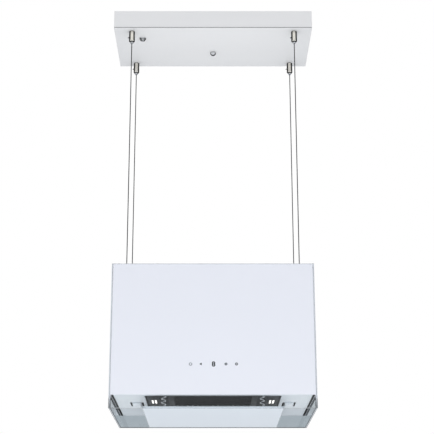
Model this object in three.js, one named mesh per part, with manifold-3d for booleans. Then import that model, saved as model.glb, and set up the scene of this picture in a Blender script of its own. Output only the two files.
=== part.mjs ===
// Island range hood, recirculating, hung from a ceiling canopy on four steel ropes.
// Millimetres, +Z up. The origin is the centre of the ceiling bracket's top face, so the
// whole hood hangs below z = 0. The controls face -Y.
import * as THREE from "three";
import { mergeVertices } from "three/addons/utils/BufferGeometryUtils.js";
import Module from "manifold-3d";

const wasm = await Module();
wasm.setup();

// ---------------------------------------------------------------- overall sizes
const HOOD_WIDTH = 600; // outer faces of the side glass
const HOOD_DEPTH = 420; // outer faces of the front and rear glass
const HOOD_HEIGHT = 429; // glass, top edge to bottom edge
const ROPE_DROP = 806; // canopy underside to the glass's top edge
const CANOPY_HEIGHT = 62;
const FIT = 0.3; // gap kept between two pieces that touch
const SLIDE_FIT = 0.5; // gap round a piece that slides or turns

// ---------------------------------------------------------------- ropes and grips
const ROPE_INSET_X = 37; // rope from the side of the hood
const ROPE_INSET_Y = 90; // rope from the front or rear of the hood
const ROPE_RADIUS = 1.5;
const ROPE_BORE = ROPE_RADIUS + FIT;
const GRIP_RADIUS = 9.5;
const GRIP_LENGTH = 36;
const GRIP_CHAMFER = 2;
const GRIP_STUD_RADIUS = 5;
const GRIP_STUD_END = 4; // stud past the bracket's lip
const PLUNGER_RADIUS = 4;
const PLUNGER_FLANGE_RADIUS = 5.5;
const PLUNGER_FLANGE = 3;
const PLUNGER_DEPTH = 10; // how far the plunger sits inside the grip
const PLUNGER_TRAVEL = 2.5;
const TAIL_OUT = 6; // trimmed rope end, past the grip's side
const TAIL_DROP = 15; // tail's middle below the grip's top
const TAIL_SLOPE = 0.5; // radians below level
const ANCHOR_RADIUS = 7;
const ANCHOR_HEIGHT = 22;
const ANCHOR_CHAMFER = 1.5;
const ANCHOR_STUD_RADIUS = 4;
const ANCHOR_STUD_LENGTH = 14;
const ROPE_SEAT = 16; // rope end inside its anchor

// ---------------------------------------------------------------- canopy and bracket
const CANOPY_MARGIN_X = 57; // canopy edge from the ropes
const CANOPY_MARGIN_Y = 25;
const CANOPY_SHEET = 1.5;
const CANOPY_CEILING_GAP = 0.5;
const BRACKET_SHEET = 2.5;
const BRACKET_SIDE_GAP = 1.5; // bracket flange to the canopy's inside
const BRACKET_END_GAP = 18;
const BRACKET_RETURN = 44; // width of the inturned lip that the grips screw into
const CEILING_SLOT_LENGTH = 24;
const CEILING_SLOT_WIDTH = 7;
const CEILING_SLOT_INSET_X = 60;
const CEILING_SLOT_INSET_Y = 62;
const SUPPLY_ENTRY_RADIUS = 16; // hole in the bracket for the house wiring
const SUPPLY_ENTRY_X = 95;
const CAP_NUT_Y = 35; // visible nut that pulls the canopy up to its bracket
const CAP_NUT_RADIUS = 10.5;
const CAP_NUT_HEIGHT = 11;
const CAP_STUD_RADIUS = 3;
const CAP_NUT_FLAT = 3; // land at the top of the nut's dome, by the canopy
const CAP_NUT_STEPS = 5;
const GLAND_INSET_X = 32; // supply gland from the front left rope, towards the middle
const GLAND_INSET_Y = 48;
const GLAND_RADIUS = 10.5;
const GLAND_HEIGHT = 10;
const GLAND_BORE = 4;
const GLAND_NECK_RADIUS = 6;
const GLAND_NECK = 9;
const TERMINAL_SIZE = new THREE.Vector3(46, 20, 18);
const TERMINAL_X = -115;
const TERMINAL_POLES = 3;
const TERMINAL_BORE = 2.5;

// ---------------------------------------------------------------- glass and casing
const GLASS = 6;
const BOND = 0.5; // bond line between a pane and the casing
const CASING_SHEET = 1.5;
const TOP_RECESS = 12; // top panel below the glass's top edge
const SKIRT = 39; // clear glass below the underside tray
const SEAL_WIDTH = 3.8;
const SEAL_HEIGHT = 8;
const TRAY_SHEET = 1.5;
const TRAY_FLANGE = 28;
const TOUCH_BOARD_WIDTH = 196;
const TOUCH_BOARD_HEIGHT = 34;
const TOUCH_BOARD = 1.2;
const TOUCH_WINDOW_MARGIN = 3;
const TOUCH_RISE = 128; // middle of the controls above the glass's bottom edge
const OUTLET_SLOTS = 15;
const OUTLET_SLOT_LENGTH = 128;
const OUTLET_SLOT_WIDTH = 3.5;
const OUTLET_PITCH = 9;

// ---------------------------------------------------------------- underside
const SIDE_STRIP = 102; // side of the hood to the tray's opening
const OPENING_FRONT = 28; // front of the hood to the tray's opening
const OPENING_REAR = 50;
const CARRIER_RISE = 8; // black carrier plate above the tray
const CARRIER_SHEET = 2;
const CARRIER_LAP = 8; // carrier plate past the opening's edge
const LAMP_ZONE = 67; // opening's side to the filter
const FILTER_FRONT_INSET = 12;
const FILTER_REAR_INSET = 10;
const FILTER_THICKNESS = 10;
const FILTER_PROUD = 4; // filter below the carrier plate
const FILTER_BAR = 16;
const FILTER_GAP = 1.2;
const FILTER_RIB = 8;
const FILTER_RIB_FROM_FRONT = 189;
const FILTER_TAB_WIDTH = 16; // tabs that rest on the carrier's rear edge
const FILTER_TAB_REACH = 8;
const FILTER_TAB_INSET = 44;
const MESH_THICKNESS = 5;
const LATCH_WIDTH = 42;
const LATCH_DEPTH = 9;
const LATCH_HEIGHT = 3.5;
const LATCH_LIP = 2.5;
const LAMP_WIDTH = 34;
const LAMP_LENGTH = 84;
const LAMP_HEIGHT = 20;
const LAMP_FROM_SIDE = 21; // lamp's middle from the opening's side
const LAMP_FROM_FRONT = 161; // lamp's middle from the opening's front edge
const LAMP_WINDOW_WIDTH = 5;
const LAMP_WINDOW_LENGTH = 60;
const LAMP_WINDOW_PITCH = 9.5;
const LENS_THICKNESS = 3;
const CLIP_WIDTH = 25;
const CLIP_LENGTH = 78;
const CLIP_HEIGHT = 6;
const CLIP_SHEET = 2;
const CLIP_LEG = 5;
const CLIP_SLOT_GAP = 1.5; // clip's edge to the slot in the tray beside it
const CLIP_SLOT_WIDTH = 6;
const CLIP_OFFSET = 30; // clip's middle outside the tray's opening
const CLIP_FROM_FRONT = 187; // clip's middle from the front of the hood

// ---------------------------------------------------------------- suction panel
const PANEL_SIDE_GAP = 97; // side of the hood to the panel: the air goes in here
const PANEL_FRONT_GAP = 4; // front pane to the panel
const PANEL_REAR_GAP = 9;
const PANEL_GLASS = 6;
const PANEL_CARRIER_INSET = 22;
const PANEL_CARRIER_SHEET = 1.5;
const HINGE_FROM_REAR = 30; // hinge line from the rear of the hood
const HINGE_RISE = 16; // hinge line above the glass's bottom edge
const HINGE_FROM_PANEL_EDGE = 53;
const HINGE_PLATE = 2.5;
const HINGE_END_RADIUS = 5;
const HINGE_FOOT = 22;
const HINGE_GAP = 1;
const PIN_RADIUS = 2;
const PIN_HEAD_RADIUS = 3.6;
const PIN_HEAD = 1.5;
const CATCH_WIRE = 1.1;
const CATCH_SWING = 6.5; // half width of the bends in the catch wire
const CATCH_BENDS = 2.5;
const CATCH_INSET_X = 61; // catch from the panel's side edge
const CATCH_FROM_FRONT = 20; // catch from the front of the hood

// ---------------------------------------------------------------- blower
const BLOWER_WIDTH = 150;
const BLOWER_SHEET = 2;
const SCROLL_START = 92; // scroll's inner radius where it leaves the outlet
const SCROLL_GROWTH = 34; // how much wider it is one turn later
const SCROLL_STEPS = 28;
const INLET_RADIUS = 68;
const NECK_FLANGE = 10;
const IMPELLER_RADIUS = 78;
const IMPELLER_WIDTH = 128;
const IMPELLER_BLADES = 22;
const BLADE_DEPTH = 14;
const BLADE_SHEET = 1.6;
const BLADE_LEAN = 0.5; // radians
const IMPELLER_DISC = 3;
const IMPELLER_RING = 3;
const HUB_LENGTH = 18;
const SHAFT_PAST_HUB = 3;
const HUB_RADIUS = 12;
const SHAFT_RADIUS = 4;
const MOTOR_RADIUS = 44;
const MOTOR_LENGTH = 56;
const MOTOR_ARMS = 3;
const MOTOR_ARM_WIDTH = 10;
const MOTOR_ARM = 4;
const CHARCOAL_RADIUS = 92;
const CHARCOAL_THICKNESS = 32;
const CHARCOAL_DISH = 9;
const CHARCOAL_HUB_RADIUS = 16;
const CHARCOAL_SPIGOT = 4; // wall of the ring that twists onto the inlet
const CONTROL_BOX = new THREE.Vector3(38, 150, 96);
const CONTROL_LID = 6; // lid's height, and its step in from the base

// ---------------------------------------------------------------- places worked out from the sizes
const ropeX = HOOD_WIDTH / 2 - ROPE_INSET_X;
const ropeY = HOOD_DEPTH / 2 - ROPE_INSET_Y;
const glassTop = -CANOPY_HEIGHT - ROPE_DROP;
const glassBottom = glassTop - HOOD_HEIGHT;
const trayBottom = glassBottom + SKIRT;
const casingX = HOOD_WIDTH / 2 - GLASS - BOND;
const casingY = HOOD_DEPTH / 2 - GLASS - BOND;
const topPanelTop = glassTop - TOP_RECESS;
const casingTop = topPanelTop - CASING_SHEET - FIT;
const casingBottom = trayBottom + SEAL_HEIGHT + FIT;
const openingX = HOOD_WIDTH / 2 - SIDE_STRIP;
const openingFront = -HOOD_DEPTH / 2 + OPENING_FRONT;
const openingRear = HOOD_DEPTH / 2 - OPENING_REAR;
const carrierBottom = trayBottom + CARRIER_RISE;
const filterX = openingX - LAMP_ZONE;
const filterFront = openingFront + FILTER_FRONT_INSET;
const filterRear = openingRear - FILTER_REAR_INSET;
const filterBottom = carrierBottom - FILTER_PROUD;
const panelX = HOOD_WIDTH / 2 - PANEL_SIDE_GAP;
const panelFront = -HOOD_DEPTH / 2 + GLASS + PANEL_FRONT_GAP;
const panelRear = HOOD_DEPTH / 2 - GLASS - PANEL_REAR_GAP;
const panelTop = glassBottom + PANEL_GLASS;
const panelCarrierTop = panelTop + FIT + PANEL_CARRIER_SHEET;
const hingeY = HOOD_DEPTH / 2 - HINGE_FROM_REAR;
const hingeZ = glassBottom + HINGE_RISE;
const hingeX = panelX - HINGE_FROM_PANEL_EDGE;
const fanZ = (casingTop + carrierBottom) / 2;
const NECK_TURN = 0.65; // where the scroll meets the neck's straight front wall
const THROAT_ANGLE = Math.PI / 3;
const neckFront = -SCROLL_START - SCROLL_GROWTH * NECK_TURN;
const neckRear = SCROLL_START * Math.cos(THROAT_ANGLE);
const fanY = -(neckFront + neckRear) / 2; // the fan stands back so that the neck is central
const gripTop = -CANOPY_HEIGHT - FIT;
const gripBottom = gripTop - GRIP_LENGTH;
const bracketBottom = -CANOPY_HEIGHT + CANOPY_SHEET + FIT;

// ---------------------------------------------------------------- solids
const SMALL_ROUND = 12;
const ROUND = 20;
const LARGE_ROUND = 32;

// A three.js geometry as a solid that can be joined and cut.
function solid(geometry) {
  const plain = geometry.index ? geometry.toNonIndexed() : geometry.clone();
  plain.deleteAttribute("normal");
  plain.deleteAttribute("uv");
  const merged = mergeVertices(plain, 1e-3);
  return new wasm.Manifold(
    new wasm.Mesh({
      numProp: 3,
      vertProperties: merged.attributes.position.array,
      triVerts: new Uint32Array(merged.index.array),
    }),
  );
}

function geometryOf(made) {
  const mesh = made.getMesh();
  return new THREE.BufferGeometry()
    .setAttribute("position", new THREE.BufferAttribute(mesh.vertProperties, 3))
    .setIndex(new THREE.BufferAttribute(mesh.triVerts, 1));
}

function box(x0, x1, y0, y1, z0, z1) {
  return solid(
    new THREE.BoxGeometry(x1 - x0, y1 - y0, z1 - z0).translate(
      (x0 + x1) / 2,
      (y0 + y1) / 2,
      (z0 + z1) / 2,
    ),
  );
}

// A box that is centred on x = 0.
function wideBox(halfWidth, y0, y1, z0, z1) {
  return box(-halfWidth, halfWidth, y0, y1, z0, z1);
}

function cylinderZ(radius, z0, z1, x = 0, y = 0, sides = ROUND) {
  return solid(
    new THREE.CylinderGeometry(radius, radius, z1 - z0, sides)
      .rotateX(Math.PI / 2)
      .translate(x, y, (z0 + z1) / 2),
  );
}

function cylinderX(radius, x0, x1, y, z, sides = ROUND) {
  return solid(
    new THREE.CylinderGeometry(radius, radius, x1 - x0, sides)
      .rotateZ(Math.PI / 2)
      .translate((x0 + x1) / 2, y, z),
  );
}

// A closed profile of [radius, height] points, turned about the vertical line through (x, y).
function turnedZ(profile, x = 0, y = 0, sides = ROUND) {
  const points = profile.map(([r, z]) => new THREE.Vector2(r, z));
  return solid(
    new THREE.LatheGeometry(points, sides).rotateX(Math.PI / 2).translate(x, y, 0),
  );
}

// The same about a line along X through (y, z). Heights in the profile run along +X.
function turnedX(profile, y, z, sides = ROUND) {
  const points = profile.map(([r, along]) => new THREE.Vector2(r, along));
  return solid(
    new THREE.LatheGeometry(points, sides).rotateZ(-Math.PI / 2).translate(0, y, z),
  );
}

// An outline of [y, z] points, extruded from x0 to x1.
function outlineX(points, x0, x1) {
  const shape = new THREE.Shape(points.map(([y, z]) => new THREE.Vector2(y, z)));
  const turn = new THREE.Matrix4().makeBasis(
    new THREE.Vector3(0, 1, 0),
    new THREE.Vector3(0, 0, 1),
    new THREE.Vector3(1, 0, 0),
  );
  const geometry = new THREE.ExtrudeGeometry(shape, {
    depth: x1 - x0,
    bevelEnabled: false,
  });
  return solid(geometry.applyMatrix4(turn).translate(x0, 0, 0));
}

function join(...parts) {
  return parts.reduce((whole, part) => whole.add(part));
}

// A slot with round ends that runs along X, cut through from z0 to z1.
function slotX(x, y, length, width, z0, z1) {
  const run = (length - width) / 2;
  return join(
    box(x - run, x + run, y - width / 2, y + width / 2, z0, z1),
    cylinderZ(width / 2, z0, z1, x - run, y, SMALL_ROUND),
    cylinderZ(width / 2, z0, z1, x + run, y, SMALL_ROUND),
  );
}

// ---------------------------------------------------------------- materials and nodes
function paint(color, roughness, metalness) {
  return { color, roughness, metalness };
}

const WHITE_PAINT = paint(0xe9eaec, 0.35, 0);
const WHITE_GLASS = paint(0xe8edf2, 0.08, 0);
const STEEL = paint(0xb9bcc0, 0.35, 1);
const ZINC = paint(0x9da1a4, 0.5, 1);
const NICKEL = paint(0xa8a396, 0.28, 1);
const CHROME = paint(0xd8dadc, 0.08, 1);
const ROPE_STEEL = paint(0x5d5f61, 0.45, 1);
const SILVER_TRAY = paint(0xc9ced4, 0.4, 0.6);
const BLACK_RUBBER = paint(0x0c0d0e, 0.7, 0);
const BLACK_PAINT = paint(0x15171a, 0.55, 0);
const DARK_MESH = paint(0x45494b, 0.45, 1);
const ALUMINIUM = paint(0x8a8e90, 0.35, 1);
const GREY_PLASTIC = paint(0x5a5d60, 0.6, 0);
const WHITE_PLASTIC = paint(0xe6e6e2, 0.5, 0);
const LAMP_WHITE = paint(0xffffff, 0.3, 0);
const CHARCOAL = paint(0x1c1d1f, 0.8, 0);
const BOARD_GREEN = paint(0x1d5a3c, 0.5, 0);

const hood = new THREE.Group();

function node(name, made, finish) {
  const mesh = new THREE.Mesh(geometryOf(made), new THREE.MeshStandardMaterial(finish));
  mesh.name = name;
  hood.add(mesh);
}

// Four corners, as the ropes stand: name and the sign of X and Y.
const CORNERS = [
  ["front_left", -1, -1],
  ["front_right", 1, -1],
  ["rear_left", -1, 1],
  ["rear_right", 1, 1],
];
const SIDES = [
  ["left", -1],
  ["right", 1],
];

// ---------------------------------------------------------------- ceiling bracket
// Folded steel channel with inturned lips. The grips screw into the lips.
const bracketX = ropeX + CANOPY_MARGIN_X - CANOPY_SHEET - BRACKET_END_GAP;
const bracketY = ropeY + CANOPY_MARGIN_Y - CANOPY_SHEET - BRACKET_SIDE_GAP;
const lipY = bracketY - BRACKET_RETURN;
const CUT = 1; // how far a cutting tool runs past the face it cuts

function ceilingBracket() {
  let made = wideBox(bracketX, -bracketY, bracketY, bracketBottom, 0);
  const inside = bracketY - BRACKET_SHEET;
  const lipTop = bracketBottom + BRACKET_SHEET;
  made = made.subtract(wideBox(bracketX + CUT, -inside, inside, lipTop, -BRACKET_SHEET));
  made = made.subtract(wideBox(bracketX + CUT, -lipY, lipY, bracketBottom - CUT, lipTop + CUT));
  for (const [, sx, sy] of CORNERS) {
    const slot = slotX(
      sx * (bracketX - CEILING_SLOT_INSET_X),
      sy * (bracketY - CEILING_SLOT_INSET_Y),
      CEILING_SLOT_LENGTH,
      CEILING_SLOT_WIDTH,
      -BRACKET_SHEET - CUT,
      CUT,
    );
    const studHole = cylinderZ(
      GRIP_STUD_RADIUS + FIT,
      bracketBottom - CUT,
      lipTop + CUT,
      sx * ropeX,
      sy * ropeY,
      SMALL_ROUND,
    );
    made = made.subtract(slot).subtract(studHole);
  }
  made = made.subtract(
    cylinderZ(SUPPLY_ENTRY_RADIUS, -BRACKET_SHEET - CUT, CUT, SUPPLY_ENTRY_X, 0),
  );
  const studEnd = -CANOPY_HEIGHT - CAP_NUT_HEIGHT / 2;
  return made.add(
    cylinderZ(CAP_STUD_RADIUS, studEnd, -BRACKET_SHEET / 2, 0, CAP_NUT_Y, SMALL_ROUND),
  );
}
node("ceiling_bracket", ceilingBracket(), ZINC);

// ---------------------------------------------------------------- canopy
// Painted steel box that is open towards the ceiling.
const canopyX = ropeX + CANOPY_MARGIN_X;
const canopyY = ropeY + CANOPY_MARGIN_Y;
const glandX = -ropeX + GLAND_INSET_X;
const glandY = -ropeY + GLAND_INSET_Y;

function ceilingCanopy() {
  const innerX = canopyX - CANOPY_SHEET;
  const innerY = canopyY - CANOPY_SHEET;
  const floor = -CANOPY_HEIGHT + CANOPY_SHEET;
  const hole = [-CANOPY_HEIGHT - CUT, floor + CUT];
  let made = wideBox(canopyX, -canopyY, canopyY, -CANOPY_HEIGHT, -CANOPY_CEILING_GAP);
  made = made.subtract(wideBox(innerX, -innerY, innerY, floor, CUT));
  for (const [, sx, sy] of CORNERS) {
    const radius = GRIP_STUD_RADIUS + FIT;
    made = made.subtract(cylinderZ(radius, ...hole, sx * ropeX, sy * ropeY, SMALL_ROUND));
  }
  made = made.subtract(cylinderZ(CAP_STUD_RADIUS + FIT, ...hole, 0, CAP_NUT_Y, SMALL_ROUND));
  return made.subtract(cylinderZ(GLAND_NECK_RADIUS + FIT, ...hole, glandX, glandY, SMALL_ROUND));
}
node("ceiling_canopy", ceilingCanopy(), WHITE_PAINT);

// Chrome cap nut on the bracket's stud, domed below.
function capNut() {
  const top = -CANOPY_HEIGHT - FIT;
  const flat = top - CAP_NUT_FLAT;
  const bottom = top - CAP_NUT_HEIGHT;
  const profile = [[0, bottom]];
  for (let i = 1; i <= CAP_NUT_STEPS; i++) {
    const angle = (i / CAP_NUT_STEPS) * (Math.PI / 2);
    profile.push([
      CAP_NUT_RADIUS * Math.sin(angle),
      flat - (flat - bottom) * Math.cos(angle),
    ]);
  }
  profile.push([CAP_NUT_RADIUS, top], [0, top]);
  const stud = cylinderZ(
    CAP_STUD_RADIUS + FIT,
    -CANOPY_HEIGHT - CAP_NUT_HEIGHT / 2 - FIT,
    top + CUT,
    0,
    CAP_NUT_Y,
    SMALL_ROUND,
  );
  return turnedZ(profile, 0, CAP_NUT_Y).subtract(stud);
}
node("canopy_cap_nut", capNut(), CHROME);

// Chrome gland: a round flange below the canopy and a neck through it, with a bore for the lead.
function gland(x, y, faceZ, down) {
  const flangeEnd = faceZ + down * GLAND_HEIGHT;
  const neckEnd = faceZ - down * GLAND_NECK;
  const flangeStart = faceZ + down * FIT;
  const span = (a, b) => [Math.min(a, b), Math.max(a, b)];
  const flange = cylinderZ(GLAND_RADIUS, ...span(flangeStart, flangeEnd), x, y);
  const neck = cylinderZ(GLAND_NECK_RADIUS, ...span(flangeEnd, neckEnd), x, y, SMALL_ROUND);
  const ends = span(flangeEnd + down * CUT, neckEnd - down * CUT);
  return flange.add(neck).subtract(cylinderZ(GLAND_BORE, ...ends, x, y, SMALL_ROUND));
}
node("supply_gland", gland(glandX, glandY, -CANOPY_HEIGHT, -1), CHROME);

// Three-pole terminal block under the bracket's web.
function terminalBlock() {
  const top = -BRACKET_SHEET - FIT;
  const { x: wide, y: deep, z: tall } = TERMINAL_SIZE;
  const left = TERMINAL_X - wide / 2;
  let made = box(left, left + wide, -deep / 2, deep / 2, top - tall, top);
  for (let i = 0; i < TERMINAL_POLES; i++) {
    const x = left + ((i + 0.5) * wide) / TERMINAL_POLES;
    const bore = new THREE.CylinderGeometry(TERMINAL_BORE, TERMINAL_BORE, deep + 2 * CUT, SMALL_ROUND);
    made = made.subtract(solid(bore.translate(x, 0, top - tall / 2)));
  }
  return made;
}
node("terminal_block", terminalBlock(), WHITE_PLASTIC);

// ---------------------------------------------------------------- cable grips
// The rope comes up through the plunger, is gripped inside, and its cut end leaves at the side.
const plungerTop = gripBottom + PLUNGER_DEPTH;
const tailZ = gripTop - TAIL_DROP;

function tailTool(radius, from, to, x, y) {
  const length = to - from;
  const geometry = new THREE.CylinderGeometry(radius, radius, length, 8)
    .rotateZ(Math.PI / 2)
    .translate(-(from + to) / 2, 0, 0)
    .rotateY(-TAIL_SLOPE);
  return solid(geometry.translate(x, y, tailZ));
}

function cableGrip(x, y) {
  const body = turnedZ(
    [
      [0, gripBottom],
      [GRIP_RADIUS - GRIP_CHAMFER, gripBottom],
      [GRIP_RADIUS, gripBottom + GRIP_CHAMFER],
      [GRIP_RADIUS, gripTop - GRIP_CHAMFER],
      [GRIP_RADIUS - GRIP_CHAMFER, gripTop],
      [0, gripTop],
    ],
    x,
    y,
    ROUND,
  );
  const studTop = bracketBottom + BRACKET_SHEET + GRIP_STUD_END;
  const stud = cylinderZ(GRIP_STUD_RADIUS, gripTop - CUT, studTop, x, y, SMALL_ROUND);
  const well = cylinderZ(
    PLUNGER_RADIUS + SLIDE_FIT,
    gripBottom - CUT,
    plungerTop + PLUNGER_TRAVEL + SLIDE_FIT,
    x,
    y,
    ROUND,
  );
  const rope = cylinderZ(ROPE_BORE, gripBottom, tailZ, x, y, SMALL_ROUND);
  const exit = tailTool(ROPE_BORE + FIT, 0, GRIP_RADIUS + TAIL_OUT, x, y);
  return join(body, stud).subtract(well).subtract(rope).subtract(exit);
}

function gripPlunger(x, y) {
  const tip = gripBottom - PLUNGER_TRAVEL - PLUNGER_FLANGE - SLIDE_FIT;
  return turnedZ(
    [
      [ROPE_BORE, tip],
      [PLUNGER_FLANGE_RADIUS, tip],
      [PLUNGER_FLANGE_RADIUS, tip + PLUNGER_FLANGE],
      [PLUNGER_RADIUS, tip + PLUNGER_FLANGE],
      [PLUNGER_RADIUS, plungerTop],
      [ROPE_BORE, plungerTop],
      [ROPE_BORE, tip],
    ],
    x,
    y,
    SMALL_ROUND,
  );
}

// ---------------------------------------------------------------- ropes and their anchors
const anchorTop = topPanelTop + FIT + ANCHOR_HEIGHT;
const ropeEnd = anchorTop - ROPE_SEAT;
const ropeTop = tailZ - 2 * ROPE_RADIUS;

function ropeAnchor(x, y) {
  const foot = topPanelTop + FIT;
  const body = turnedZ(
    [
      [0, foot],
      [ANCHOR_RADIUS, foot],
      [ANCHOR_RADIUS, anchorTop - ANCHOR_CHAMFER],
      [ANCHOR_RADIUS - ANCHOR_CHAMFER, anchorTop],
      [0, anchorTop],
    ],
    x,
    y,
    SMALL_ROUND,
  );
  const stud = cylinderZ(ANCHOR_STUD_RADIUS, foot - ANCHOR_STUD_LENGTH, foot + CUT, x, y, SMALL_ROUND);
  const seat = cylinderZ(ROPE_BORE, ropeEnd - FIT, anchorTop + CUT, x, y, 8);
  return join(body, stud).subtract(seat);
}

for (const [corner, sx, sy] of CORNERS) {
  const x = sx * ropeX;
  const y = sy * ropeY;
  node(`cable_grip_${corner}`, cableGrip(x, y), NICKEL);
  const tail = tailTool(ROPE_RADIUS, ROPE_RADIUS, GRIP_RADIUS + TAIL_OUT, x, y);
  node(`rope_tail_${corner}`, tail, ROPE_STEEL);
  node(`grip_plunger_${corner}`, gripPlunger(x, y), STEEL);
  node(`suspension_rope_${corner}`, cylinderZ(ROPE_RADIUS, ropeEnd, ropeTop, x, y, 8), ROPE_STEEL);
  node(`rope_anchor_${corner}`, ropeAnchor(x, y), STEEL);
}

// ---------------------------------------------------------------- glass panes
// The front and rear panes run the full width, and the side panes stand between them.
const frontFace = -HOOD_DEPTH / 2;
const glassX = HOOD_WIDTH / 2;
const sidePaneY = HOOD_DEPTH / 2 - GLASS - FIT;
node("front_glass", wideBox(glassX, frontFace, frontFace + GLASS, glassBottom, glassTop), WHITE_GLASS);
node("rear_glass", wideBox(glassX, -frontFace - GLASS, -frontFace, glassBottom, glassTop), WHITE_GLASS);
for (const [side, s] of SIDES) {
  const inner = Math.min(s * glassX, s * (glassX - GLASS));
  const pane = box(inner, inner + GLASS, -sidePaneY, sidePaneY, glassBottom, glassTop);
  node(`${side}_glass`, pane, WHITE_GLASS);
}

// ---------------------------------------------------------------- casing
// Sheet-steel box without top or bottom that the panes are bonded to, with a window for the controls.
const touchZ = glassBottom + TOUCH_RISE;

function casing() {
  const innerX = casingX - CASING_SHEET;
  const innerY = casingY - CASING_SHEET;
  const windowX = TOUCH_BOARD_WIDTH / 2 + TOUCH_WINDOW_MARGIN;
  const windowZ = TOUCH_BOARD_HEIGHT / 2 + TOUCH_WINDOW_MARGIN;
  return wideBox(casingX, -casingY, casingY, casingBottom, casingTop)
    .subtract(wideBox(innerX, -innerY, innerY, casingBottom - CUT, casingTop + CUT))
    .subtract(wideBox(windowX, -casingY - CUT, -innerY + CUT, touchZ - windowZ, touchZ + windowZ));
}
node("casing", casing(), ZINC);

const boardFront = -casingY - BOND + FIT;
node(
  "touch_board",
  wideBox(
    TOUCH_BOARD_WIDTH / 2,
    boardFront,
    boardFront + TOUCH_BOARD,
    touchZ - TOUCH_BOARD_HEIGHT / 2,
    touchZ + TOUCH_BOARD_HEIGHT / 2,
  ),
  BOARD_GREEN,
);

// ---------------------------------------------------------------- top panel
// White sheet between the panes, with the outlet slots over the blower's neck.
function topPanel() {
  const floor = topPanelTop - CASING_SHEET;
  const through = [floor - CUT, topPanelTop + CUT];
  const half = OUTLET_SLOT_WIDTH / 2;
  let made = wideBox(casingX, -casingY, casingY, floor, topPanelTop);
  for (let i = 0; i < OUTLET_SLOTS; i++) {
    const y = (i - (OUTLET_SLOTS - 1) / 2) * OUTLET_PITCH;
    made = made.subtract(wideBox(OUTLET_SLOT_LENGTH / 2, y - half, y + half, ...through));
  }
  for (const [, sx, sy] of CORNERS) {
    const radius = ANCHOR_STUD_RADIUS + FIT;
    made = made.subtract(cylinderZ(radius, ...through, sx * ropeX, sy * ropeY, SMALL_ROUND));
  }
  return made.subtract(cylinderZ(GLAND_NECK_RADIUS + FIT, ...through, glandX, glandY, SMALL_ROUND));
}
node("top_panel", topPanel(), WHITE_PAINT);
node("lead_inlet", gland(glandX, glandY, topPanelTop, 1), CHROME);

// ---------------------------------------------------------------- underside tray and seals
const trayX = casingX - SEAL_WIDTH - FIT;
const trayY = casingY - CASING_SHEET - FIT;
const clipY = frontFace + CLIP_FROM_FRONT;

function undersideTray() {
  const floor = trayBottom + TRAY_SHEET;
  return wideBox(trayX, -trayY, trayY, trayBottom, trayBottom + TRAY_FLANGE)
    .subtract(
      wideBox(
        trayX - TRAY_SHEET,
        -trayY + TRAY_SHEET,
        trayY - TRAY_SHEET,
        floor,
        trayBottom + TRAY_FLANGE + CUT,
      ),
    )
    .subtract(wideBox(openingX, openingFront, openingRear, trayBottom - CUT, floor + CUT))
    .subtract(clipSlots(-1, floor + CUT))
    .subtract(clipSlots(1, floor + CUT));
}

// The two slots beside one tray clip.
function clipSlots(s, top) {
  const middle = s * (openingX + CLIP_OFFSET);
  const near = CLIP_WIDTH / 2 + CLIP_SLOT_GAP;
  const far = near + CLIP_SLOT_WIDTH;
  const slot = (x0, x1) =>
    box(x0, x1, clipY - CLIP_LENGTH / 2, clipY + CLIP_LENGTH / 2, trayBottom - CUT, top);
  return join(slot(middle - far, middle - near), slot(middle + near, middle + far));
}
node("underside_tray", undersideTray(), SILVER_TRAY);

for (const [side, s] of SIDES) {
  const near = Math.min(s * casingX, s * (casingX - SEAL_WIDTH));
  const seal = box(near, near + SEAL_WIDTH, -casingY, casingY, trayBottom, trayBottom + SEAL_HEIGHT);
  node(`${side}_seal`, seal, BLACK_RUBBER);
}

// Bridge-shaped spring clips that hold the tray up, with a leg at the front and rear.
function trayClip(s) {
  const middle = s * (openingX + CLIP_OFFSET);
  const half = CLIP_WIDTH / 2;
  const y0 = clipY - CLIP_LENGTH / 2;
  const y1 = clipY + CLIP_LENGTH / 2;
  const top = trayBottom - FIT;
  const bottom = top - CLIP_HEIGHT;
  return box(middle - half, middle + half, y0, y1, bottom, top).subtract(
    box(
      middle - half - CUT,
      middle + half + CUT,
      y0 + CLIP_LEG,
      y1 - CLIP_LEG,
      bottom + CLIP_SHEET,
      top + CUT,
    ),
  );
}
for (const [side, s] of SIDES) {
  node(`${side}_tray_clip`, trayClip(s), STEEL);
}

// ---------------------------------------------------------------- filter carrier and lamps
// Black plate above the opening that the filter and the lamps sit in.
const lampX = openingX - LAMP_FROM_SIDE;
const lampY = openingFront + LAMP_FROM_FRONT;

function lampTools(s, width, length, z0, z1) {
  const x = s * lampX;
  return box(x - width / 2, x + width / 2, lampY - length / 2, lampY + length / 2, z0, z1);
}

function filterCarrier() {
  const top = carrierBottom + CARRIER_SHEET;
  let made = wideBox(
    openingX + CARRIER_LAP,
    openingFront - CARRIER_LAP,
    openingRear + CARRIER_LAP,
    trayBottom + TRAY_SHEET + FIT,
    top,
  );
  made = made.subtract(
    wideBox(openingX, openingFront, openingRear, trayBottom - CUT, carrierBottom),
  );
  made = made.subtract(
    wideBox(
      filterX + FILTER_GAP,
      filterFront - FILTER_GAP,
      filterRear + FILTER_GAP,
      carrierBottom - CUT,
      top + CUT,
    ),
  );
  for (const [, s] of SIDES) {
    const width = LAMP_WIDTH + 2 * FIT;
    const length = LAMP_LENGTH + 2 * FIT;
    made = made.subtract(lampTools(s, width, length, carrierBottom - CUT, top + CUT));
  }
  return made;
}
node("filter_carrier", filterCarrier(), BLACK_PAINT);

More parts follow.
